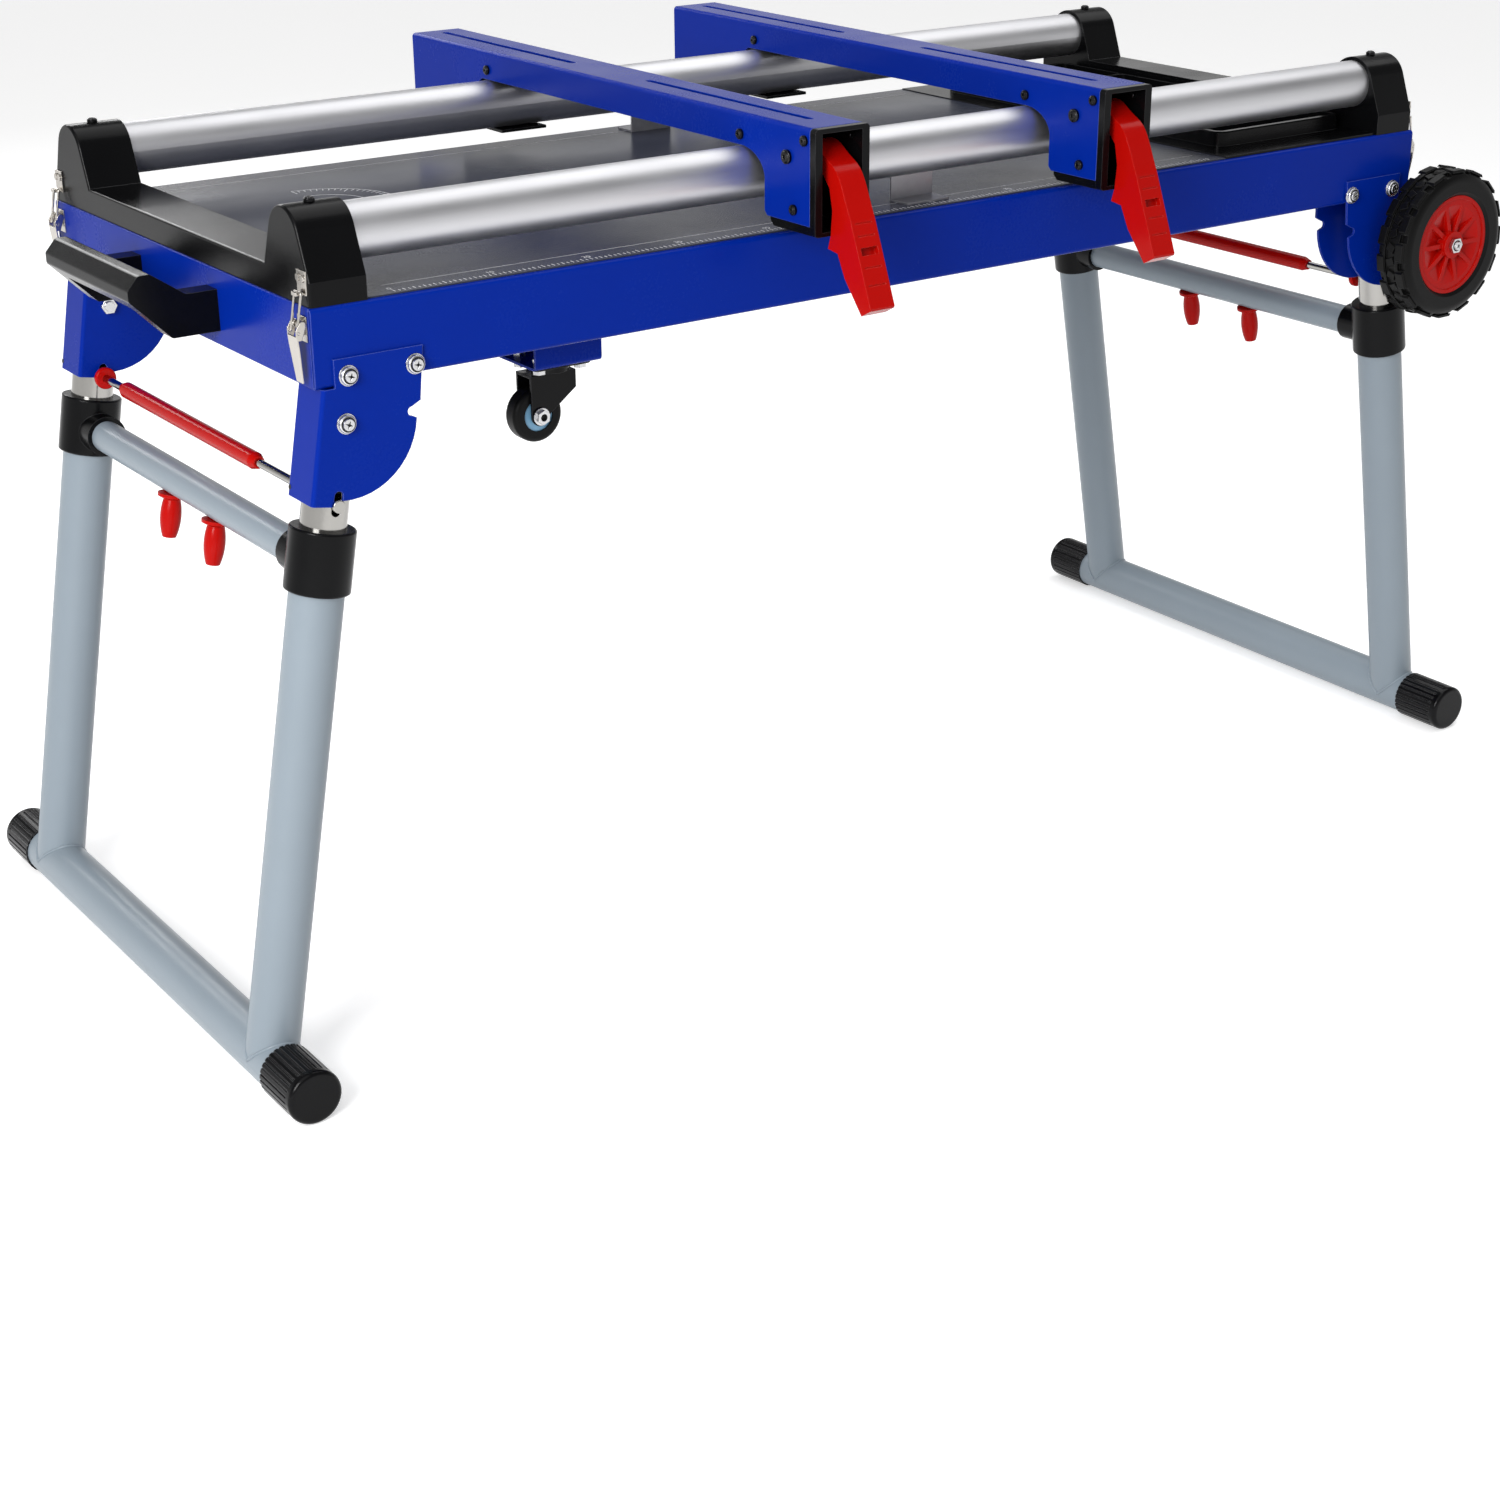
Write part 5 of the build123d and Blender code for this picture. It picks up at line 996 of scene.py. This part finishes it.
# Casters: pressed steel forks under black enamel, which swivel in plates bolted to the
# channels under the table, and pale blue wheel cores.
black_steel = finish(
    "black_steel",
    (0.003, 0.003, 0.0035),
    rough=(0.12, 0.24),
    tone=0.2,
    grain=500.0,
    bump=0.05,
    edge=(0.12, 0.12, 0.13),
    specular=0.14,
)
pale_blue = finish(
    "pale_blue_plastic",
    (0.2, 0.42, 0.62),
    rough=(0.3, 0.45),
    grain=900.0,
    bump=0.06,
)
dress(black_steel, "caster_plates", "front_caster_fork", "back_caster_fork")
dress(pale_blue, "front_caster_core", "back_caster_core")

# Caster axles: a zinc-plated bolt through each caster wheel, with a washer and a hexagon
# nut against both cheeks of the fork.
nut_stub = 0.003
cheek_turn = 0.4
bolt_hole = {
    "Top Share": 0.96,
    "Recess Points": 12,
    "Recess Outer": 0.0037,
    "Recess Inner": 0.0037,
}
for front in ("front", "back"):
    fork_low, fork_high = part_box(front + "_caster_fork")
    hub = Vector(joints[front + "_caster_spin"]["pos_m"])
    cheeks = []
    for end_y, way in ((fork_low.y + nut_stub, -1.0), (fork_high.y - nut_stub, 1.0)):
        cheeks.append(((hub.x, end_y, hub.z), (0.0, way, 0.0), plain_size, cheek_turn))
    for part_name, ring in (
        ("_caster_washers", {"Radius": 0.0088, "Sides": 32, "Height": 0.0009}),
        ("_caster_nuts", {"Radius": 0.0074, "Sides": 6, "Height": 0.0048}),
    ):
        grow(
            front + part_name,
            front + "_caster",
            pierced_stud,
            zinc,
            cheeks,
            sizes=ring | bolt_hole,
        )

# Floor: a wide sheet of plain pale card. Where the camera sees it, or a mirror shows it,
# it glows a little, so that it comes out white and still keeps the stand's shadow.
floor_half_side = 200.0
floor_grey = 0.85
floor_roughness = 0.9
floor_glow = 0.46
floor_mesh = bpy.data.meshes.new("floor")
floor_form = bmesh.new()
bmesh.ops.create_grid(floor_form, x_segments=1, y_segments=1, size=floor_half_side)
floor_form.to_mesh(floor_mesh)
floor_form.free()
floor = put_in_scene("floor", floor_mesh)
floor_card = bpy.data.materials.new("floor_card")
floor_card.use_nodes = True
card_tree = floor_card.node_tree
card = card_tree.nodes["Principled BSDF"]
card.inputs["Base Color"].default_value = (floor_grey, floor_grey, floor_grey, 1.0)
card.inputs["Roughness"].default_value = floor_roughness
card.inputs["Specular IOR Level"].default_value = 0.0
card.inputs["Emission Color"].default_value = (1.0, 1.0, 1.0, 1.0)
ray = card_tree.nodes.new("ShaderNodeLightPath")
seen = ray.outputs["Is Camera Ray"]
for kind in ("Is Glossy Ray", "Is Transmission Ray"):
    either = card_tree.nodes.new("ShaderNodeMath")
    either.operation = "MAXIMUM"
    card_tree.links.new(seen, either.inputs[0])
    card_tree.links.new(ray.outputs[kind], either.inputs[1])
    seen = either.outputs["Value"]
glow = card_tree.nodes.new("ShaderNodeMapRange")
glow.inputs["To Min"].default_value = 0.0
glow.inputs["To Max"].default_value = floor_glow
card_tree.links.new(seen, glow.inputs["Value"])
card_tree.links.new(glow.outputs["Result"], card.inputs["Emission Strength"])
floor_mesh.materials.append(floor_card)

# Surroundings: a plain room without colour, pale near the horizon and dimmer overhead,
# so that tubes and rails show a bright band and a dark one.
horizon_level, zenith_level = 0.9, 0.22
fade_from, fade_to = 0.03, 0.5
world = bpy.data.worlds.new("studio")
bpy.context.scene.world = world
world.use_nodes = True
room = world.node_tree
sky = room.nodes["Background"]
sky.inputs["Color"].default_value = (1.0, 1.0, 1.0, 1.0)
sky_place = room.nodes.new("ShaderNodeTexCoord")
sky_parts = room.nodes.new("ShaderNodeSeparateXYZ")
room.links.new(sky_place.outputs["Generated"], sky_parts.inputs["Vector"])
sky_fade = room.nodes.new("ShaderNodeMapRange")
sky_fade.interpolation_type = "SMOOTHSTEP"
sky_fade.inputs["From Min"].default_value = fade_from
sky_fade.inputs["From Max"].default_value = fade_to
sky_fade.inputs["To Min"].default_value = horizon_level
sky_fade.inputs["To Max"].default_value = zenith_level
room.links.new(sky_parts.outputs["Z"], sky_fade.inputs["Value"])
room.links.new(sky_fade.outputs["Result"], sky.inputs["Strength"])

# Lamps: a wide panel overhead, a key panel at the left, a strip behind the stand and a
# very soft window of sky. All are white, and together they light it at a plain level.
table_middle = Vector((0.0, 0.0, 0.6))


def soft_lamp(name, place, width, height, power):
    """An area lamp that looks at the middle of the table."""
    lamp = bpy.data.lights.new(name, "AREA")
    lamp.shape = "RECTANGLE"
    lamp.size = width
    lamp.size_y = height
    lamp.energy = power
    holder = put_in_scene(name, lamp)
    holder.location = place
    aim = table_middle - Vector(place)
    holder.rotation_euler = aim.to_track_quat("-Z", "Y").to_euler()


soft_lamp("overhead_panel", (1.2, 0.4, 3.0), width=2.8, height=2.6, power=40.0)
soft_lamp("left_key", (-3.0, -1.8, 1.9), width=1.4, height=1.6, power=100.0)
soft_lamp("back_strip", (-0.2, 3.6, 2.3), width=2.4, height=0.7, power=36.0)

window_spread = math.radians(60.0)
window_strength = 0.75
window_way = Vector((0.45, 0.4, -1.0))
sun = bpy.data.lights.new("sky_window", "SUN")
sun.angle = window_spread
sun.energy = window_strength
sun_holder = put_in_scene("sky_window", sun)
sun_holder.rotation_euler = window_way.to_track_quat("-Z", "Y").to_euler()

# Camera: where the photograph was taken from, which a fit of the frame's straight edges
# gives: its place, its three turns and its lens, with no shift and no blur.
camera_place = (-1.6054322, -2.2077168, 1.2515881)
camera_heading, camera_tilt, camera_roll = -0.6187, -0.4126, 0.0058
camera_data = bpy.data.cameras.new("camera")
camera_data.lens = 61.468
camera_data.sensor_width = 36.0
camera_data.clip_end = 100.0
camera = put_in_scene("camera", camera_data)
camera_turn = (
    Matrix.Rotation(camera_heading, 3, "Z")
    @ Matrix.Rotation(camera_tilt, 3, "X")
    @ Matrix.Rotation(camera_roll, 3, "Y")
)
right, look, up = camera_turn.col[0], camera_turn.col[1], camera_turn.col[2]
axes = Matrix((right, up, -look)).transposed()
camera.matrix_world = Matrix.Translation(camera_place) @ axes.to_4x4()
bpy.context.scene.camera = camera
bpy.context.scene.view_settings.view_transform = "Standard"
